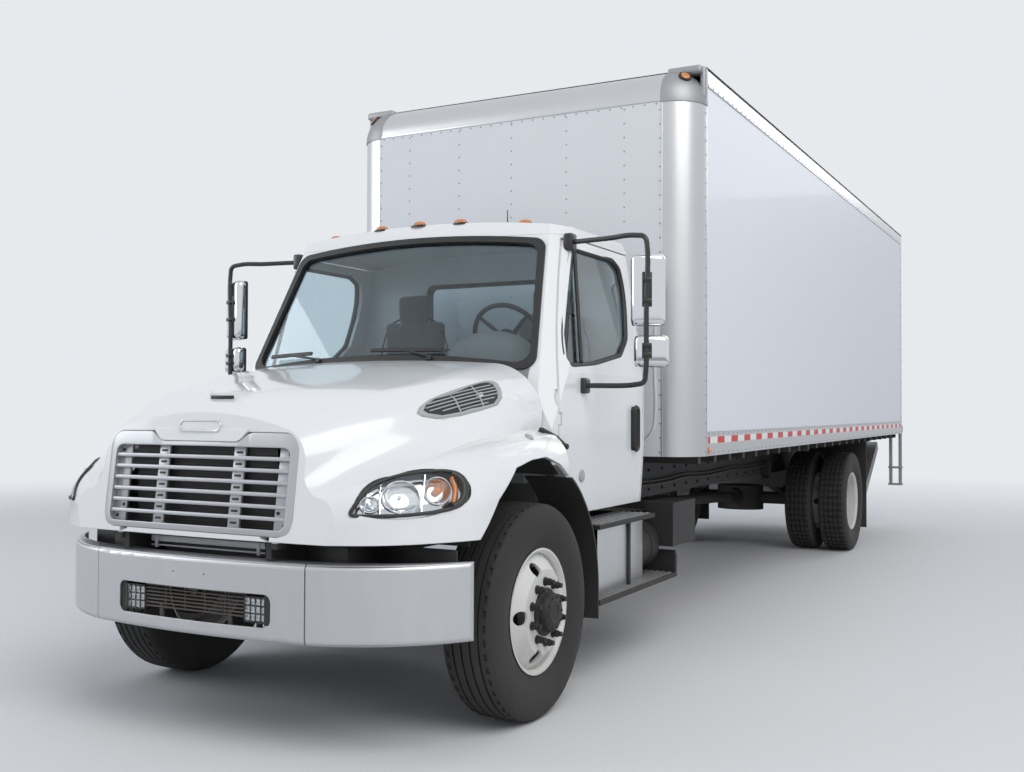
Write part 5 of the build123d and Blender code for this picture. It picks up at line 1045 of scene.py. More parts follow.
# %% [markdown]
# The surround is one closed band: three loops along its inner outline and four along its outer
# one.

# %% Grille surround
GRILLE_TOP, GRILLE_DIP = 467, 427
BAY_LOW, BAY_HIGH, BAYS = 52, 405, 7
OUTER = [(-548, 27), (548, 27), (548, GRILLE_TOP), (285, GRILLE_TOP), (232, GRILLE_DIP),
         (-232, GRILLE_DIP), (-285, GRILLE_TOP), (-548, GRILLE_TOP)]
OUTER_SOFT = [62, 62, 78, 22, 26, 26, 22, 78]
INNER = [(-512, BAY_LOW), (512, BAY_LOW)] + [(x, BAY_HIGH) for x in (512, 285, 232, -232, -285, -512)]
INNER_SOFT = [36, 36, 44, 10, 10, 10, 10, 44]
surround = bmesh.new()
loops = [outline_loop(surround, outline, soft, depth, inset) for outline, soft, depth, inset in (
    (INNER, INNER_SOFT, 24, 0), (INNER, INNER_SOFT, 2, 0), (INNER, INNER_SOFT, -3, -4),
    (OUTER, OUTER_SOFT, -3, 9), (OUTER, OUTER_SOFT, 1, 2), (OUTER, OUTER_SOFT, 6, 0),
    (OUTER, OUTER_SOFT, 24, 0))]
mid_points(surround, loops + loops[:1])
piece("grille_surround", on_nose(surround), grille_silver, "hood", replaces=("grille",))

# %% [markdown]
# The bars run between plates at the ends and in the middle. A slot in each bay of the middle
# plates is a small dark bar laid on them, painted shade in place of an opening; three bolts at each end
# are small dark bars too.

# %% Grille bars and plates
bars, plates, slots = bmesh.new(), bmesh.new(), bmesh.new()
BAY = (BAY_HIGH - BAY_LOW) / BAYS
for row in range(1, BAYS):
    middle = BAY_LOW + row * BAY
    nose_bar(bars, -514, 514, middle - 8.5, middle + 8.5, 0, 26, 3, cuts=11)
for x in (-220, 220):
    nose_bar(plates, x - 31, x + 31, BAY_LOW - 4, BAY_HIGH + 4, 20, 34)
    for row in range(BAYS):
        up = BAY_LOW + (row + 0.5) * BAY
        # Painted shade: a dark bar in each bay stands for the slot's opening.
        nose_bar(slots, x - 19, x + 19, up - 5.5, up + 5.5, 18.6, 24, soft=2.4)
for side in (-1, 1):
    nose_bar(plates, side * 474 - 40, side * 474 + 40, BAY_LOW - 4, BAY_HIGH + 4, 24, 38)
    for x, up in ((488, BAY_HIGH - 26), (452, BAY_LOW + 76), (488, BAY_LOW + 24)):
        nose_bar(slots, side * x - 7, side * x + 7, up - 7, up + 7, 20, 25, soft=4)
piece("grille_bars", on_nose(bars), grille_silver, "hood", replaces=("grille",))
piece("grille_plates", on_nose(plates), grille_silver, "hood", replaces=("grille",))
piece("grille_slot_shade_and_bolts", on_nose(slots), black_plastic, "hood", replaces=("grille",))

# %% [markdown]
# A lobe of the hood's white nose hangs into the surround's dip.

# %% Nose lobe
lobe = bmesh.new()
LOBE = [(-229, 425), (229, 425), (283, 480), (-283, 480)]
loops = [outline_loop(lobe, LOBE, [24, 24, 4, 4], depth, inset)
         for depth, inset in ((30, 0), (-2, 0), (-6, 3))]
bands(lobe, loops)
bmesh.ops.contextual_create(lobe, geom=loops[-1])
piece("nose_lobe", on_nose(lobe), cab_white, "hood", replaces=("grille",))

# %% [markdown]
# Fine fins of the cooler show between the bars. They are plain bars before a flat core.

# %% Cooler fins
fins = bmesh.new()
for row in range(34):
    z = 905 + row * 13
    bar(fins, (-400, -1015, z), (400, -1011, z + 3), soft=0)
bar(fins, (-410, -1010, 890), (410, -1006, 1352), soft=2)
piece("cooler_fins", fins, core_grey)

# %% [markdown]
# A plain oval plate in a bright ring sits on the nose: both are lathed, drawn out to the sides and
# stood where a ray finds the hood.

# %% Oval plate on the nose
hood_skin = surface_of("hood")
oval_at, oval_out = on_surface(hood_skin, NOSE_AT + NOSE_UP * 0.49 + NOSE_OUT * 0.4, -NOSE_OUT)
plate, ring = bmesh.new(), bmesh.new()
for mesh, section in ((ring, [(-6, 29), (7, 28), (11, 23), (7, 18), (2, 18)]),
                      (plate, [(2, 19), (5, 18), (5, 0)])):
    lathe(mesh, section, steps=48)
    drawn_out(mesh, 0, 0.094)
    stood(mesh, oval_at, oval_out)
piece("nose_oval_ring", ring, chrome, "hood")
piece("nose_oval", plate, alloy, "hood")

# %% [markdown]
# A small scoop lies on top of the hood, lower and narrower at its back. Its dark mouth is a black
# bar on the closed front: painted shade in place of the opening.

# %% Hood scoop
scoop, mouth_shade = bmesh.new(), bmesh.new()
top_front = on_surface(hood_skin, at(0, -905, 1900), (0, 0, -1))[0]
top_back = on_surface(hood_skin, at(0, -760, 1900), (0, 0, -1))[0]
corners = []
for x in (-0.08, 0.08):
    for spot, lift in ((top_front, -0.004), (top_front, 0.034), (top_back, 0.004), (top_back, -0.01)):
        wide = 1.0 if spot is top_front else 0.6
        corners.append(scoop.verts.new((x * wide, spot.y, spot.z + lift)))
bmesh.ops.convex_hull(scoop, input=corners)
soften(scoop, scoop.edges[:], 4)
lip_y, lip_z = top_front.y * 1000 - AXLE, top_front.z * 1000
# The mouth is painted shade: a black bar on the scoop's closed front, where the shadow in its opening
# falls.
bar(mouth_shade, (-68, lip_y - 2.5, lip_z + 1), (68, lip_y + 6, lip_z + 17), soft=2)
piece("hood_scoop", scoop, cab_white, "hood")
piece("hood_scoop_mouth_shade", mouth_shade, black_plastic, "hood")

# %% [markdown]
# Each side of the hood has a round rest and a rubber latch that runs down to the cowl.

# %% Rests and latches
for side, word in SIDES:
    spot, facing = on_surface(hood_skin, at(side * 1085, 20, 1900), (0, 0, -1))
    button = bmesh.new()
    lathe(button, [(-4, 24), (5, 23), (8, 18), (9, 0)], spot, facing, steps=28)
    piece(f"hood_button_{word}", button, vent_grey, "hood")
    hook, hook_out = on_surface(hood_skin, at(side * 1058, 205, 1900), (0, 0, -1))
    latch = bmesh.new()
    end = at(side * 1076, 458, 1277)
    knee = (hook + end) / 2 + Vector((side * 0.014, 0, 0.01))
    rod(latch, hook + hook_out * 0.012, knee, 12, tip=11, sides=16)
    rod(latch, knee, end, 11, tip=9, sides=16)
    rod(latch, hook - hook_out * 0.006, hook + hook_out * 0.02, 17, sides=16, soft=4)
    out = Vector((side, 0, 0))
    rod(latch, end - out * 0.014, end + out * 0.01, 15, sides=16, soft=3)
    piece(f"hood_latch_{word}", latch, black_rubber, "hood")

# %% [markdown]
# ## Doors and mirrors
# The window's rubber follows the glass: the glass solid's points, seen from the side, have one
# outline, and a soft tube is laid along it.

# %% Outline of a window
def side_outline(name, side):
    """The outline of a window's solid as seen from the side, as points on its outer face."""
    points = {}
    for vert in nodes[name].data.vertices:
        key = (round(vert.co.y, 3), round(vert.co.z, 3))
        points[key] = max(points.get(key, 0.0), vert.co.x * side)
    flat = sorted(points)

    def half(line):
        """The line's points that its lower side turns round."""
        kept = []
        for p in line:
            while len(kept) > 1 and ((kept[-1][0] - kept[-2][0]) * (p[1] - kept[-2][1])
                                     - (kept[-1][1] - kept[-2][1]) * (p[0] - kept[-2][0])) <= 0:
                kept.pop()
            kept.append(p)
        return kept[:-1]

    return [Vector((side * points[p], p[0], p[1])) for p in half(flat) + half(flat[::-1])]


def spread(points, pitch):
    """Points at an even pitch in metres along a closed outline."""
    line = []
    for a, b in zip(points, points[1:] + points[:1]):
        count = max(1, round((b - a).length / pitch))
        line += [a.lerp(b, k / count) for k in range(count)]
    return line


print("outline of the door glass has", len(side_outline("door_glass_left", 1)), "points")

# %% [markdown]
# Each door gets its rubber, a divider, a handle, a lining and a plain disc below the window, and
# all of them ride on it.

# %% Window rubbers, handles and linings
for side, word in SIDES:
    body = f"door_{word}"
    edge_line = side_outline(f"door_glass_{word}", side)
    ring = spread(edge_line, 0.03)
    for _ in range(5):
        before, after = ring[-1:] + ring[:-1], ring[1:] + ring[:1]
        ring = [(a + b * 2 + c) / 4 for a, b, c in zip(before, ring, after)]
    ring = [p + Vector((side * 0.006, 0, 0)) for p in ring]
    tube(f"window_rubber_{word}", ring, 18, black_rubber, body, closed=True)
    divider = [at(side * 962, 798, 2330), at(side * 1056, 684, 1720)]
    tube(f"window_divider_{word}", divider, 11, black_rubber, body)
    handle = bmesh.new()
    lathe(handle, [(-10, 42), (20, 42), (30, 37), (34, 28), (30, 20), (22, 16), (20, 0)],
          axis=(1, 0, 0), steps=40)
    drawn_out(handle, 2, 0.096)
    bmesh.ops.scale(handle, vec=(side, 1, 1), verts=handle.verts)
    bmesh.ops.translate(handle, vec=at(side * 1068, 1398, 1355), verts=handle.verts)
    piece(f"door_handle_{word}", handle, black_plastic, body)
    lining = bmesh.new()
    side_bar(lining, side, (975, 480, 1230), (1008, 1500, 1650), soft=14, segments=4)
    side_bar(lining, side, (915, 700, 1420), (980, 1330, 1470), soft=18, segments=4)
    piece(f"door_lining_{word}", lining, cabin_grey, body)
    lens = bmesh.new()
    spot = nearest_hit([surface_of(body)], at(side * 1300, 680, 1115), (-side, 0, 0))[0]
    lathe(lens, [(-2, 34), (5, 33), (8, 26), (9, 0)], spot, (side, 0, 0), steps=32)
    piece(f"door_disc_{word}", lens, vent_grey, body)

# %% [markdown]
# The mirrors are drawn again with rounded shells: a bent tube on two feet carries a tall head and
# a small one. Each head has a bright shell in front, a black bezel, a mirror behind, and a black
# plate and clamps on the tube.

# %% Bars in a mirror's head
HEAD_TURN = math.radians(22)
HEADS = ((-82, 98, 1905, 2287), (-65, 117, 1690, 1860))
TUBE_LINE = ((948, 793, 2386), (1180, 745, 2384), (1370, 706, 2382), (1412, 700, 2368),
             (1424, 700, 2330), (1420, 700, 1980), (1416, 700, 1650), (1406, 700, 1612),
             (1370, 698, 1600), (1090, 680, 1594))


def head_bar(mesh, side, x_low, x_high, y_low, y_high, z_low, z_high, soft, segments=4):
    """A bar in a mirror head's own turned frame, in millimetres from the tube."""
    box = bmesh.ops.create_cube(mesh, size=1.0)["verts"]
    size = Vector((x_high - x_low, y_high - y_low, z_high - z_low)) / 1000
    middle = Vector((side * (x_high + x_low), y_high + y_low, z_high + z_low)) / 2000
    bmesh.ops.scale(mesh, vec=size, verts=box)
    bmesh.ops.translate(mesh, vec=middle, verts=box)
    frame_turn = Matrix.Translation(at(side * 1422, 700, 0)) @ Matrix.Rotation(side * HEAD_TURN, 4, "Z")
    bmesh.ops.transform(mesh, matrix=frame_turn, verts=box)
    soften(mesh, list({e for v in box for e in v.link_edges}), soft, segments)


print("helper: head_bar")

# %% [markdown]
# The same bar, larger or smaller and softer or harder, makes the shell, the bezel, the glass and
# the clamps of each head. The mirrors ride on the doors.

# %% Mirrors
for side, word in SIDES:
    body, old = f"door_{word}", (f"mirror_{word}",)
    shells, faces, blacks = bmesh.new(), bmesh.new(), bmesh.new()
    for x_low, x_high, z_low, z_high in HEADS:
        head_bar(shells, side, x_low, x_high, 8, 84, z_low, z_high, 34, 7)
        head_bar(blacks, side, x_low + 4, x_high - 4, 52, 87, z_low + 4, z_high - 4, 12, 4)
        head_bar(faces, side, x_low + 14, x_high - 14, 84, 88.5, z_low + 14, z_high - 14, 1.5, 2)
        middle, tall = (z_low + z_high) / 2, (z_high - z_low) * 0.24
        head_bar(blacks, side, -24, 28, 0, 12, middle - tall, middle + tall, 5, 3)
        for z in (middle - tall * 0.8, middle + tall * 0.4):
            head_bar(blacks, side, -24, 26, -20, 20, z, z + 24, 6, 3)
    piece(f"mirror_shells_{word}", shells, chrome, body, sharp=60, replaces=old)
    piece(f"mirror_faces_{word}", faces, mirror_face, body, replaces=old)
    line = [at(side * x, y, z) for x, y, z in TUBE_LINE]
    bent = tube(f"mirror_tube_{word}", line, 14, mirror_black, body)
    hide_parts(*old)
    for x, y, z, high in ((938, 792, 2386, 48), (1072, 680, 1594, 42)):
        side_bar(blacks, side, (x - 28, y - 36, z - high), (x + 28, y + 36, z + high), soft=14,
                 segments=4)
    piece(f"mirror_blacks_{word}", blacks, mirror_black, body, replaces=old)

# %% [markdown]
# ## Lamps
# All lamps but the headlamps are drawn again, and together they stand in for the plain lamp
# solids. Roof lamps are amber domes on small black feet, and a short aerial stands beside them.

# %% Roof lamps
roof = surface_of("cab_roof")
domes, feet = bmesh.new(), bmesh.new()
for x, y in ((0, 722), (272, 734), (656, 797), (-272, 734), (-656, 797)):
    top, normal = on_surface(roof, at(x, y, 2800), (0, 0, -1))
    for mesh, radius, squash, high in ((feet, 34, 0.62, 7), (domes, 27, 0.66, 24)):
        before = len(mesh.verts)
        section = [(-8, radius + 2), (high * 0.2, radius), (high * 0.75, radius * 0.82),
                   (high, radius * 0.45), (high + 0.5, 0)]
        lathe(mesh, section, steps=28)
        mesh.verts.ensure_lookup_table()
        new = mesh.verts[before:]
        bmesh.ops.scale(mesh, vec=(1.6, squash * 1.3, 1), verts=new)
        bmesh.ops.translate(mesh, vec=top, verts=new)
piece("roof_lamps", domes, lens_amber, sharp=60, replaces=("lamps",))
piece("roof_lamp_feet", feet, black_plastic, replaces=("lamps",))
aerial = bmesh.new()
top, normal = on_surface(roof, at(489, 900, 2800), (0, 0, -1))
upright = Vector((0, 0, 1))
rod(aerial, top - upright * 0.004, top + upright * 0.022, 14, tip=9, soft=2)
rod(aerial, top, top + upright * 0.1, 3.5, tip=2.5, sides=12)
piece("aerial", aerial, black_plastic, replaces=("lamps",))

# %% [markdown]
# Each fog lamp is a housing of thin bars with twelve small bowls behind a clear face.

# %% Fog lamps
fog_shell, fog_bowl, fog_glass = bmesh.new(), bmesh.new(), bmesh.new()
for x in (-350, 350):
    for (x_low, y_low, z_low), (x_high, y_high, z_high) in (
        ((-62, -1078, 562), (62, -1030, 570)), ((-62, -1078, 666), (62, -1030, 674)),
        ((-62, -1078, 562), (-56, -1030, 674)), ((56, -1078, 562), (62, -1030, 674)),
        ((-60, -1036, 564), (60, -1028, 672)), ((-12, -1056, 520), (12, -1040, 566)),
    ):
        bar(fog_shell, (x + x_low, y_low, z_low), (x + x_high, y_high, z_high), soft=2)
    for row in range(3):
        for column in range(4):
            bowl(fog_bowl, at(x - 42 + column * 28, -1071, 586 + row * 32), (0, -1, 0), 15, 9)
    bar(fog_bowl, (x - 58, -1070, 566), (x + 58, -1062, 670), soft=2)
    bar(fog_glass, (x - 57, -1080, 567), (x + 57, -1074, 669), soft=3)
piece("fog_lamp_shells", fog_shell, black_plastic, replaces=("lamps",))
piece("fog_lamp_bowls", fog_bowl, alloy, replaces=("lamps",))
piece("fog_lamp_glass", fog_glass, lens_clear, replaces=("lamps",))

# %% [markdown]
# The amber markers stand at the body's front corners and low on its sides. Each rear corner has
# two red lamps and a white one in rubber rings, and five small red ones sit over the door.

# %% Marker and rear lamps
BODY_END = 9834
markers, rings, reds, whites = (bmesh.new() for colour in range(4))
for side in (1, -1):
    out = Vector((side * 0.55, -0.55, 0.63)).normalized()
    spot = at(side * 1190, 1964, 3577)
    lathe(markers, [(0, 33), (14, 31), (20, 22), (23, 0)], spot, out, steps=28)
    lathe(rings, [(-4, 42), (10, 41), (14, 36), (10, 31)], spot, out, steps=28)
    side_bar(markers, side, (1294, 2108, 1184), (1299.5, 2168, 1228), soft=3)
    for x, lenses in ((908, reds), (768, reds), (628, whites)):
        rear = at(side * x, BODY_END, 1191)
        lathe(lenses, [(0, 50), (9, 48), (13, 34), (14, 0)], rear, (0, 1, 0), steps=32)
        lathe(rings, [(0, 62), (8, 61), (12, 54), (8, 49)], rear, (0, 1, 0), steps=32)
for x in (-1200, -150, 0, 150, 1200):
    bar(reds, (x - 32, 9833, 3560), (x + 32, 9842, 3586), soft=3, segments=3)
    bar(rings, (x - 38, 9833, 3555), (x + 38, 9837, 3591), soft=1.5)
piece("marker_lenses", markers, lens_amber, replaces=("lamps",))
piece("red_lenses", reds, lens_red, replaces=("lamps",))
piece("white_lenses", whites, lens_white, replaces=("lamps",))
piece("lamp_rings", rings, black_rubber, replaces=("lamps",))

# %% [markdown]
# ## The van body
# Its skin is riveted: rows of small domes on the rails, the front wall and the corner posts. A
# rivet is a low eight-sided cone, since there are hundreds. A striped safety tape runs along the
# bottom rails, and cast caps close the upper corners.

# %% Rivets
def rivet(mesh, place, direction):
    """A low dome of a few faces."""
    direction = Vector(direction)
    stand = direction.to_track_quat("Z", "Y").to_matrix().to_4x4()
    bmesh.ops.create_cone(mesh, cap_ends=True, segments=8, radius1=0.0075, radius2=0.004, depth=0.004,
                          matrix=Matrix.Translation(place + direction.normalized() * 0.001) @ stand)


BODY_FRONT, SIDE_FRONT, SIDE_X, POST_X = 1859, 2079, 1295.5, 1075.5
rivets = bmesh.new()
for side in (1, -1):
    for y in range(2120, 9760, 105):
        for z in (1190, 1312, 3552):
            rivet(rivets, at(side * SIDE_X, y, z), (side, 0, 0))
    for z in range(1200, 3400, 90):
        rivet(rivets, at(side * SIDE_X, 2066, z), (side, 0, 0))
        rivet(rivets, at(side * 1062, BODY_FRONT, z), (0, -1, 0))
    for y in (9790, 9822):
        for z in range(1240, 3620, 140):
            rivet(rivets, at(side * SIDE_X, y, z), (side, 0, 0))
for x in (-820, -410, 0, 410, 820):
    for z in range(1230, 3400, 90):
        rivet(rivets, at(x, BODY_FRONT, z), (0, -1, 0))
for x in range(-1040, 1041, 80):
    rivet(rivets, at(x, BODY_FRONT, 3402), (0, -1, 0))
piece("rivets", rivets, cast_alloy, sharp=80)

# %% [markdown]
# Thin bars on both sides make the tape, the edge of the roof and the strips that cover the joints
# between the body's panels.

# %% Safety tape, roof edge and joint strips
strips, roof_edge, seams = bmesh.new(), bmesh.new(), bmesh.new()
twin_bars(strips, (1295.2, 2110, 1251), (1296.2, 9740, 1293), soft=0)
piece("safety_tape", strips, tape)
twin_bars(roof_edge, (1260, SIDE_FRONT, 3641), (1298, 9836, 3659.5), soft=4)
bar(roof_edge, (-1260, SIDE_FRONT, 3650), (1260, 2096, 3659.5), soft=2)
piece("roof_edge", roof_edge, steel_dark)
twin_bars(seams, (1293, 2074, 1172), (1297.5, 2084, 3440), soft=1)
for z in (1322, 3536):
    twin_bars(seams, (1293, SIDE_FRONT, z), (1297.5, 9774, z + 8), soft=1)
twin_bars(seams, (POST_X - 5, 1855, 1172), (POST_X + 5, 1861, 3420), soft=1)
bar(seams, (-1075, 1855, 3415), (1075, 1861, 3427), soft=1)
piece("panel_seams", seams, alloy)

# %% [markdown]
# A cast cap closes each upper front corner, where the round post meets the roof. It is an eighth
# of a ball with short skirts, given a thickness, with two bars along its edges.

# %% Corner caps
SKIRT = 0.012


def corner_cap(mesh, side):
    """A cast cap over one upper front corner, cut from a ball with skirts."""
    ball = bmesh.new()
    middle = at(side * POST_X, SIDE_FRONT, 3420)
    bmesh.ops.create_uvsphere(ball, u_segments=40, v_segments=24, radius=0.2262)
    bmesh.ops.translate(ball, vec=middle, verts=ball.verts)
    for direction in ((-side, 0, 0), (0, 1, 0), (0, 0, -1)):
        geom = ball.verts[:] + ball.edges[:] + ball.faces[:]
        bmesh.ops.bisect_plane(ball, geom=geom, plane_co=middle + Vector(direction) * SKIRT,
                               plane_no=direction, clear_outer=True)
    bmesh.ops.recalc_face_normals(ball, faces=ball.faces)
    bmesh.ops.solidify(ball, geom=ball.faces[:], thickness=0.006)
    join(mesh, ball)


caps = bmesh.new()
for side in (1, -1):
    corner_cap(caps, side)
twin_bars(caps, (1262, 2036, 3437), (1299, 2104, 3656), soft=14, segments=4)
twin_bars(caps, (1060, 1990, 3604), (1286, 2100, 3657), soft=18, segments=4)
piece("corner_caps", caps, cast_alloy, sharp=50)

# %% [markdown]
# ## Wheel arches and splash panels
# Black liners inside the fenders hide the skin's inner side, as on the truck. A liner is the
# arch's outline drawn as a strip and given a thickness.

# %% Arch liners
ARCH = ((-602, 880), (-592, 925), (-455, 1083), (-258, 1216), (-100, 1246), (46, 1254), (180, 1213),
        (286, 1146))
liners = bmesh.new()
for side in (1, -1):
    inner, outer = ([liners.verts.new(at(side * x, y, z)) for y, z in ARCH] for x in (640, 1118))
    for a, b, c, d in zip(inner, inner[1:], outer[1:], outer):
        liners.faces.new((a, b, c, d))
bmesh.ops.recalc_face_normals(liners, faces=liners.faces)
bmesh.ops.solidify(liners, geom=liners.faces[:], thickness=0.004)
piece("arch_liners", liners, black_plastic, "hood")

# %% [markdown]
# Dark panels fill the gap over the bumper, with rubber boots on the hood's hinges and a bracket
# below the grille.

# %% Splash panels, boots and bracket
splash = bmesh.new()
for low, high in (((470, -890, 640), (690, -882, 880)), ((680, -650, 690), (1085, -640, 868)),
                  ((684, -886, 640), (692, -642, 868))):
    twin_bars(splash, low, high, soft=3)
bar(splash, (-360, -940, 838), (360, -934, 896), soft=3)
piece("splash_panels", splash, black_plastic)
boots = bmesh.new()
twin_bars(boots, (435, -1079, 877), (466, -1021, 903), soft=3)
piece("hinge_boots", boots, black_rubber, "hood")
bracket = bmesh.new()
bar(bracket, (-335, -1000, 862), (335, -992, 892), soft=3)
bar(bracket, (-335, -1000, 842), (335, -994, 850), soft=2)
for x in (-300, 300):
    bar(bracket, (x - 9, -1004, 835), (x + 9, -990, 893), soft=2)
piece("nose_bracket", bracket, cast_alloy)

# %% [markdown]
# ## Steps and the space behind the cab
# Each step has a serrated metal tread. A bright panel closes the space between the steps, straps
# hold the tank, and a grab rail stands behind the cab.

# %% Step treads, panel, straps and grab rails
RAIL_LINE = ((1040, 1640, 2290), (1092, 1650, 2270), (1104, 1652, 2200), (1106, 1654, 1700),
             (1108, 1656, 1420), (1094, 1654, 1340), (1030, 1650, 1262))
treads, panels, straps = bmesh.new(), bmesh.new(), bmesh.new()
for y_low, y_high, z in ((670, 1452, 857), (672, 1830, 462)):
    for row, x in enumerate(range(948, 1176, 19)):
        for y in range(y_low + (12 if row % 2 else 0), y_high - 30, 34):
            twin_bars(treads, (x, y, z - 1), (x + 9, y + 20, z + 5), soft=0)
twin_bars(panels, (1098, 800, 466), (1103, 1460, 828), soft=2)
twin_bars(straps, (1101, 1216, 462), (1116, 1246, 834), soft=3)
for side in (1, -1):
    for y in (1440, 1640):
        lathe(straps, [(-14, 149), (-14, 153), (14, 153), (14, 149)], at(side * 950, y, 635), (0, 1, 0),
              steps=36)
piece("step_treads", treads, cast_alloy)
piece("step_panels", panels, alloy)
piece("tank_straps", straps, chassis_black)
for side, word in SIDES:
    tube(f"grab_rail_{word}", [at(side * x, y, z) for x, y, z in RAIL_LINE], 13, alloy)

# %% [markdown]
# ## Rear door and chassis fittings
# The rolling door has a hinge row on each joint of its panels, a lift handle and a latch.

# %% Door hinges, handle and latch
hinges, latches = bmesh.new(), bmesh.new()
for z in range(1640, 3400, 345):
    for x in (-1060, -530, 0, 530, 1060):
        bar(hinges, (x - 26, 9784, z - 30), (x + 26, 9790, z + 30), soft=1)
bar(latches, (-70, 9812, 1330), (70, 9820, 1450), soft=3)
bar(latches, (-14, 9818, 1345), (14, 9832, 1435), soft=5)
bar(latches, (330, 9812, 1330), (450, 9818, 1352), soft=2)
for x in (340, 440):
    rod(latches, at(x, 9810, 1375), at(x, 9830, 1375), 7)
rod(latches, at(336, 9830, 1375), at(444, 9830, 1375), 8)
piece("door_hinges", hinges, alloy)
piece("door_latch", latches, cast_alloy)

# %% [markdown]
# The frame rails carry rows of bolts, and hoses run forward along them.

# %% Frame bolts and lines
bolts = bmesh.new()
for side in (1, -1):
    for y in range(2150, 8900, 290):
        for z in (850, 1000):
            rod(bolts, at(side * 428, y, z), at(side * 442, y, z), 12, sides=6)
piece("frame_bolts", bolts, steel_dark)
for number, (x, z, thick) in enumerate(((452, 905, 11), (452, 935, 8), (-452, 905, 11))):
    line = [at(x + (6 if k % 2 else -3), 1500 + k * 430, z - (14 if k % 3 else 0)) for k in range(13)]
    tube(f"frame_line_{number + 1}", line, thick, black_rubber)

# %% [markdown]
# ## The cab's inside
# Through the windshield one sees the instrument hood, the steering wheel and the seats. The wheel
# is lathed about its leaning column.

# %% Steering wheel
WHEEL_AT = at(528, 850, 1866)
WHEEL_LEAN = math.radians(30)
WHEEL_OUT = Vector((0, math.cos(WHEEL_LEAN), math.sin(WHEEL_LEAN)))
wheel = bmesh.new()
turns = [k * math.tau / 12 for k in range(13)]
lathe(wheel, [(14 * math.sin(t), 214 + 14 * math.cos(t)) for t in turns], WHEEL_AT, WHEEL_OUT, steps=48)
lathe(wheel, [(-30, 0), (-30, 62), (-8, 70), (2, 62), (4, 0)], WHEEL_AT, WHEEL_OUT, steps=32)
across, upward = Vector((1, 0, 0)), WHEEL_OUT.cross(Vector((1, 0, 0)))
for angle in (0.02, 0.48, 0.62, 0.88):
    spoke = across * math.cos(angle * math.tau) + upward * math.sin(angle * math.tau)
    start = WHEEL_AT - WHEEL_OUT * 0.012 + spoke * 0.05
    rod(wheel, start, WHEEL_AT + spoke * 0.208, 13, tip=10, sides=12)
rod(wheel, WHEEL_AT - WHEEL_OUT * 0.02, WHEEL_AT - WHEEL_OUT * 0.3, 34, tip=44, sides=24)
piece("wheel_and_column", wheel, black_plastic, replaces=("steering_wheel",))
print("wheel centre", [round(v, 3) for v in WHEEL_AT])

# %% [markdown]
# The instrument hood is half of a stretched ball, cut flat and closed below.

# %% Instrument hood
binnacle = bmesh.new()
bmesh.ops.create_uvsphere(binnacle, u_segments=40, v_segments=24, radius=1.0)
bmesh.ops.scale(binnacle, vec=(0.31, 0.16, 0.22), verts=binnacle.verts)
bmesh.ops.translate(binnacle, vec=at(535, 640, 1680), verts=binnacle.verts)
geom = binnacle.verts[:] + binnacle.edges[:] + binnacle.faces[:]
cut = bmesh.ops.bisect_plane(binnacle, geom=geom, plane_co=at(0, 0, 1600), plane_no=(0, 0, -1),
                             clear_outer=True)["geom_cut"]
bmesh.ops.contextual_create(binnacle, geom=[g for g in cut if isinstance(g, bmesh.types.BMEdge)])
piece("instrument_hood", binnacle, cabin_grey)

# %% [markdown]
# The seats are padded: a closed shape is blown up a little as cloth, which crowns it and draws in
# its edges. No point may move further than a set cap, so the pad stays near its solid.

# %% Cloth helpers
def bake(obj):
    """Apply every modifier by swapping in the evaluated mesh."""
    looks = bpy.context.evaluated_depsgraph_get()
    data = bpy.data.meshes.new_from_object(obj.evaluated_get(looks))
    old = obj.data
    obj.modifiers.clear()
    obj.data = data
    bpy.data.meshes.remove(old)


def blow_up(obj, cap):
    """Swell a closed mesh as cloth, and keep each point within cap metres of its start."""
    remesh = obj.modifiers.new("remesh", "REMESH")
    remesh.mode = "VOXEL"
    remesh.voxel_size = 0.009
    bake(obj)
    before = [v.co.copy() for v in obj.data.vertices]
    cloth = obj.modifiers.new("cloth", "CLOTH")
    cloth.settings.use_pressure = True
    cloth.settings.uniform_pressure_force = 4.0
    cloth.settings.effector_weights.gravity = 0.0
    cloth.settings.quality = 4
    for step in range(1, 13):
        scene.frame_set(step)
    bake(obj)
    scene.frame_set(1)
    for vert, start in zip(obj.data.vertices, before):
        move = vert.co - start
        if move.length > cap:
            vert.co = start + move * cap / move.length


print("helpers: bake, blow_up")

# %% [markdown]
# Each seat has a cushion and a back with a headrest, swollen from soft bars, and piping laid
# along the seams as a thin tube.


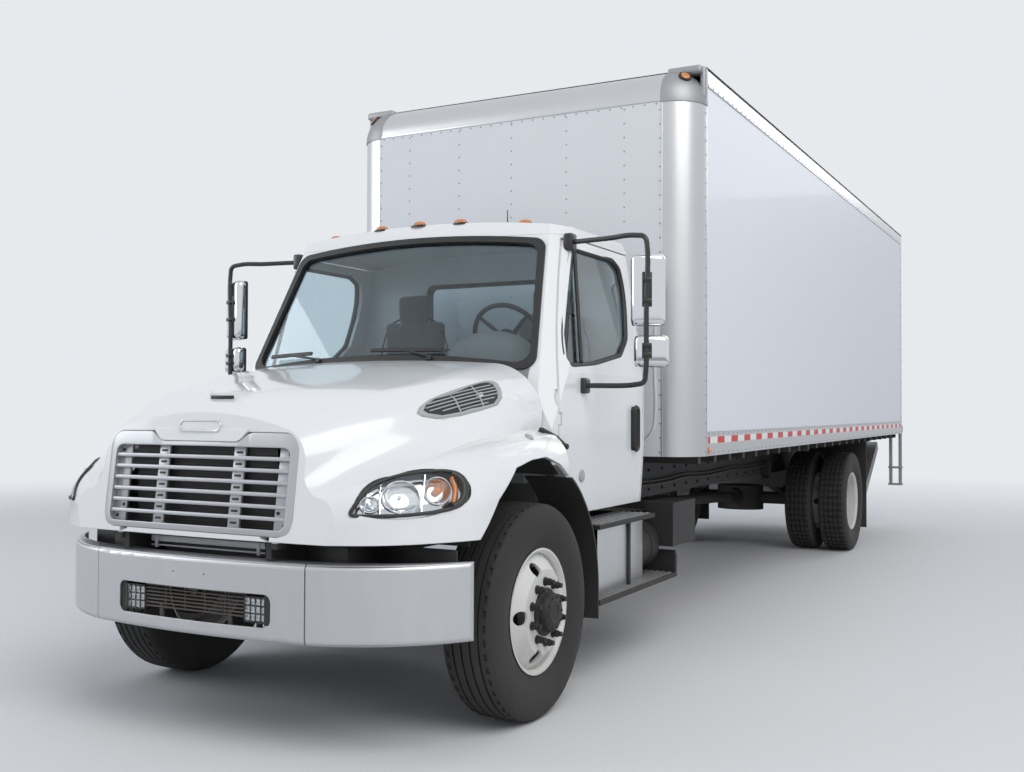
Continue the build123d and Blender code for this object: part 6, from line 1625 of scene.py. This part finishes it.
def pad(name, boxes, soft, cap):
    """A padded piece swollen from soft bars in millimetres."""
    mesh = bmesh.new()
    for low, high in boxes:
        bar(mesh, low, high, soft=soft, segments=4)
    data = bpy.data.meshes.new(name + "_start")
    mesh.to_mesh(data)
    mesh.free()
    made = bpy.data.objects.new(name + "_start", data)
    scene.collection.objects.link(made)
    blow_up(made, cap)
    shaped = bmesh.new()
    shaped.from_mesh(made.data)
    for _ in range(3):
        bmesh.ops.smooth_vert(shaped, verts=shaped.verts, factor=0.5, use_axis_x=True,
                              use_axis_y=True, use_axis_z=True)
    old = made.data
    bpy.data.objects.remove(made)
    bpy.data.meshes.remove(old)
    piece(name, shaped, seat_cloth, sharp=80, replaces=("seats",))


def seam(name, low, high, out):
    """Piping along the middle of a cushion's edge, as a closed rounded rectangle."""
    x0, y0, z0 = low
    x1, y1, z1 = high
    if out == "z":
        z = (z0 + z1) / 2 + 18
        corners = [Vector(c) for c in ((x0, y0, z), (x1, y0, z), (x1, y1, z), (x0, y1, z))]
    else:
        y = (y0 + y1) / 2 - 14
        corners = [Vector(c) for c in ((x0, y, z0), (x1, y, z0), (x1, y, z1), (x0, y, z1))]
    line = [at(*corner.lerp(other, 0.16)) for index, corner in enumerate(corners)
            for other in (corners[index - 1], corners[(index + 1) % 4])]
    tube(name, line, 5, black_rubber, "chassis", closed=True)


print("helpers: pad, seam")

# %% [markdown]
# The driver's and the mate's seat are alike, on the left and the right.

# %% Padded seats
SEAT_FLOOR = 1310
for side, word in ((1, "driver"), (-1, "mate")):
    x = side * 500
    cushion = ((x - 250, 1015, SEAT_FLOOR), (x + 250, 1440, 1440))
    back = ((x - 232, 1405, 1440), (x + 232, 1505, 2040))
    headrest = ((x - 125, 1415, 2030), (x + 125, 1500, 2225))
    pad(f"seat_cushion_{word}", [cushion], soft=42, cap=0.02)
    pad(f"seat_back_{word}", [back, headrest], soft=38, cap=0.018)
    seam(f"cushion_piping_{word}", *cushion, "z")
    seam(f"back_piping_{word}", *back, "y")
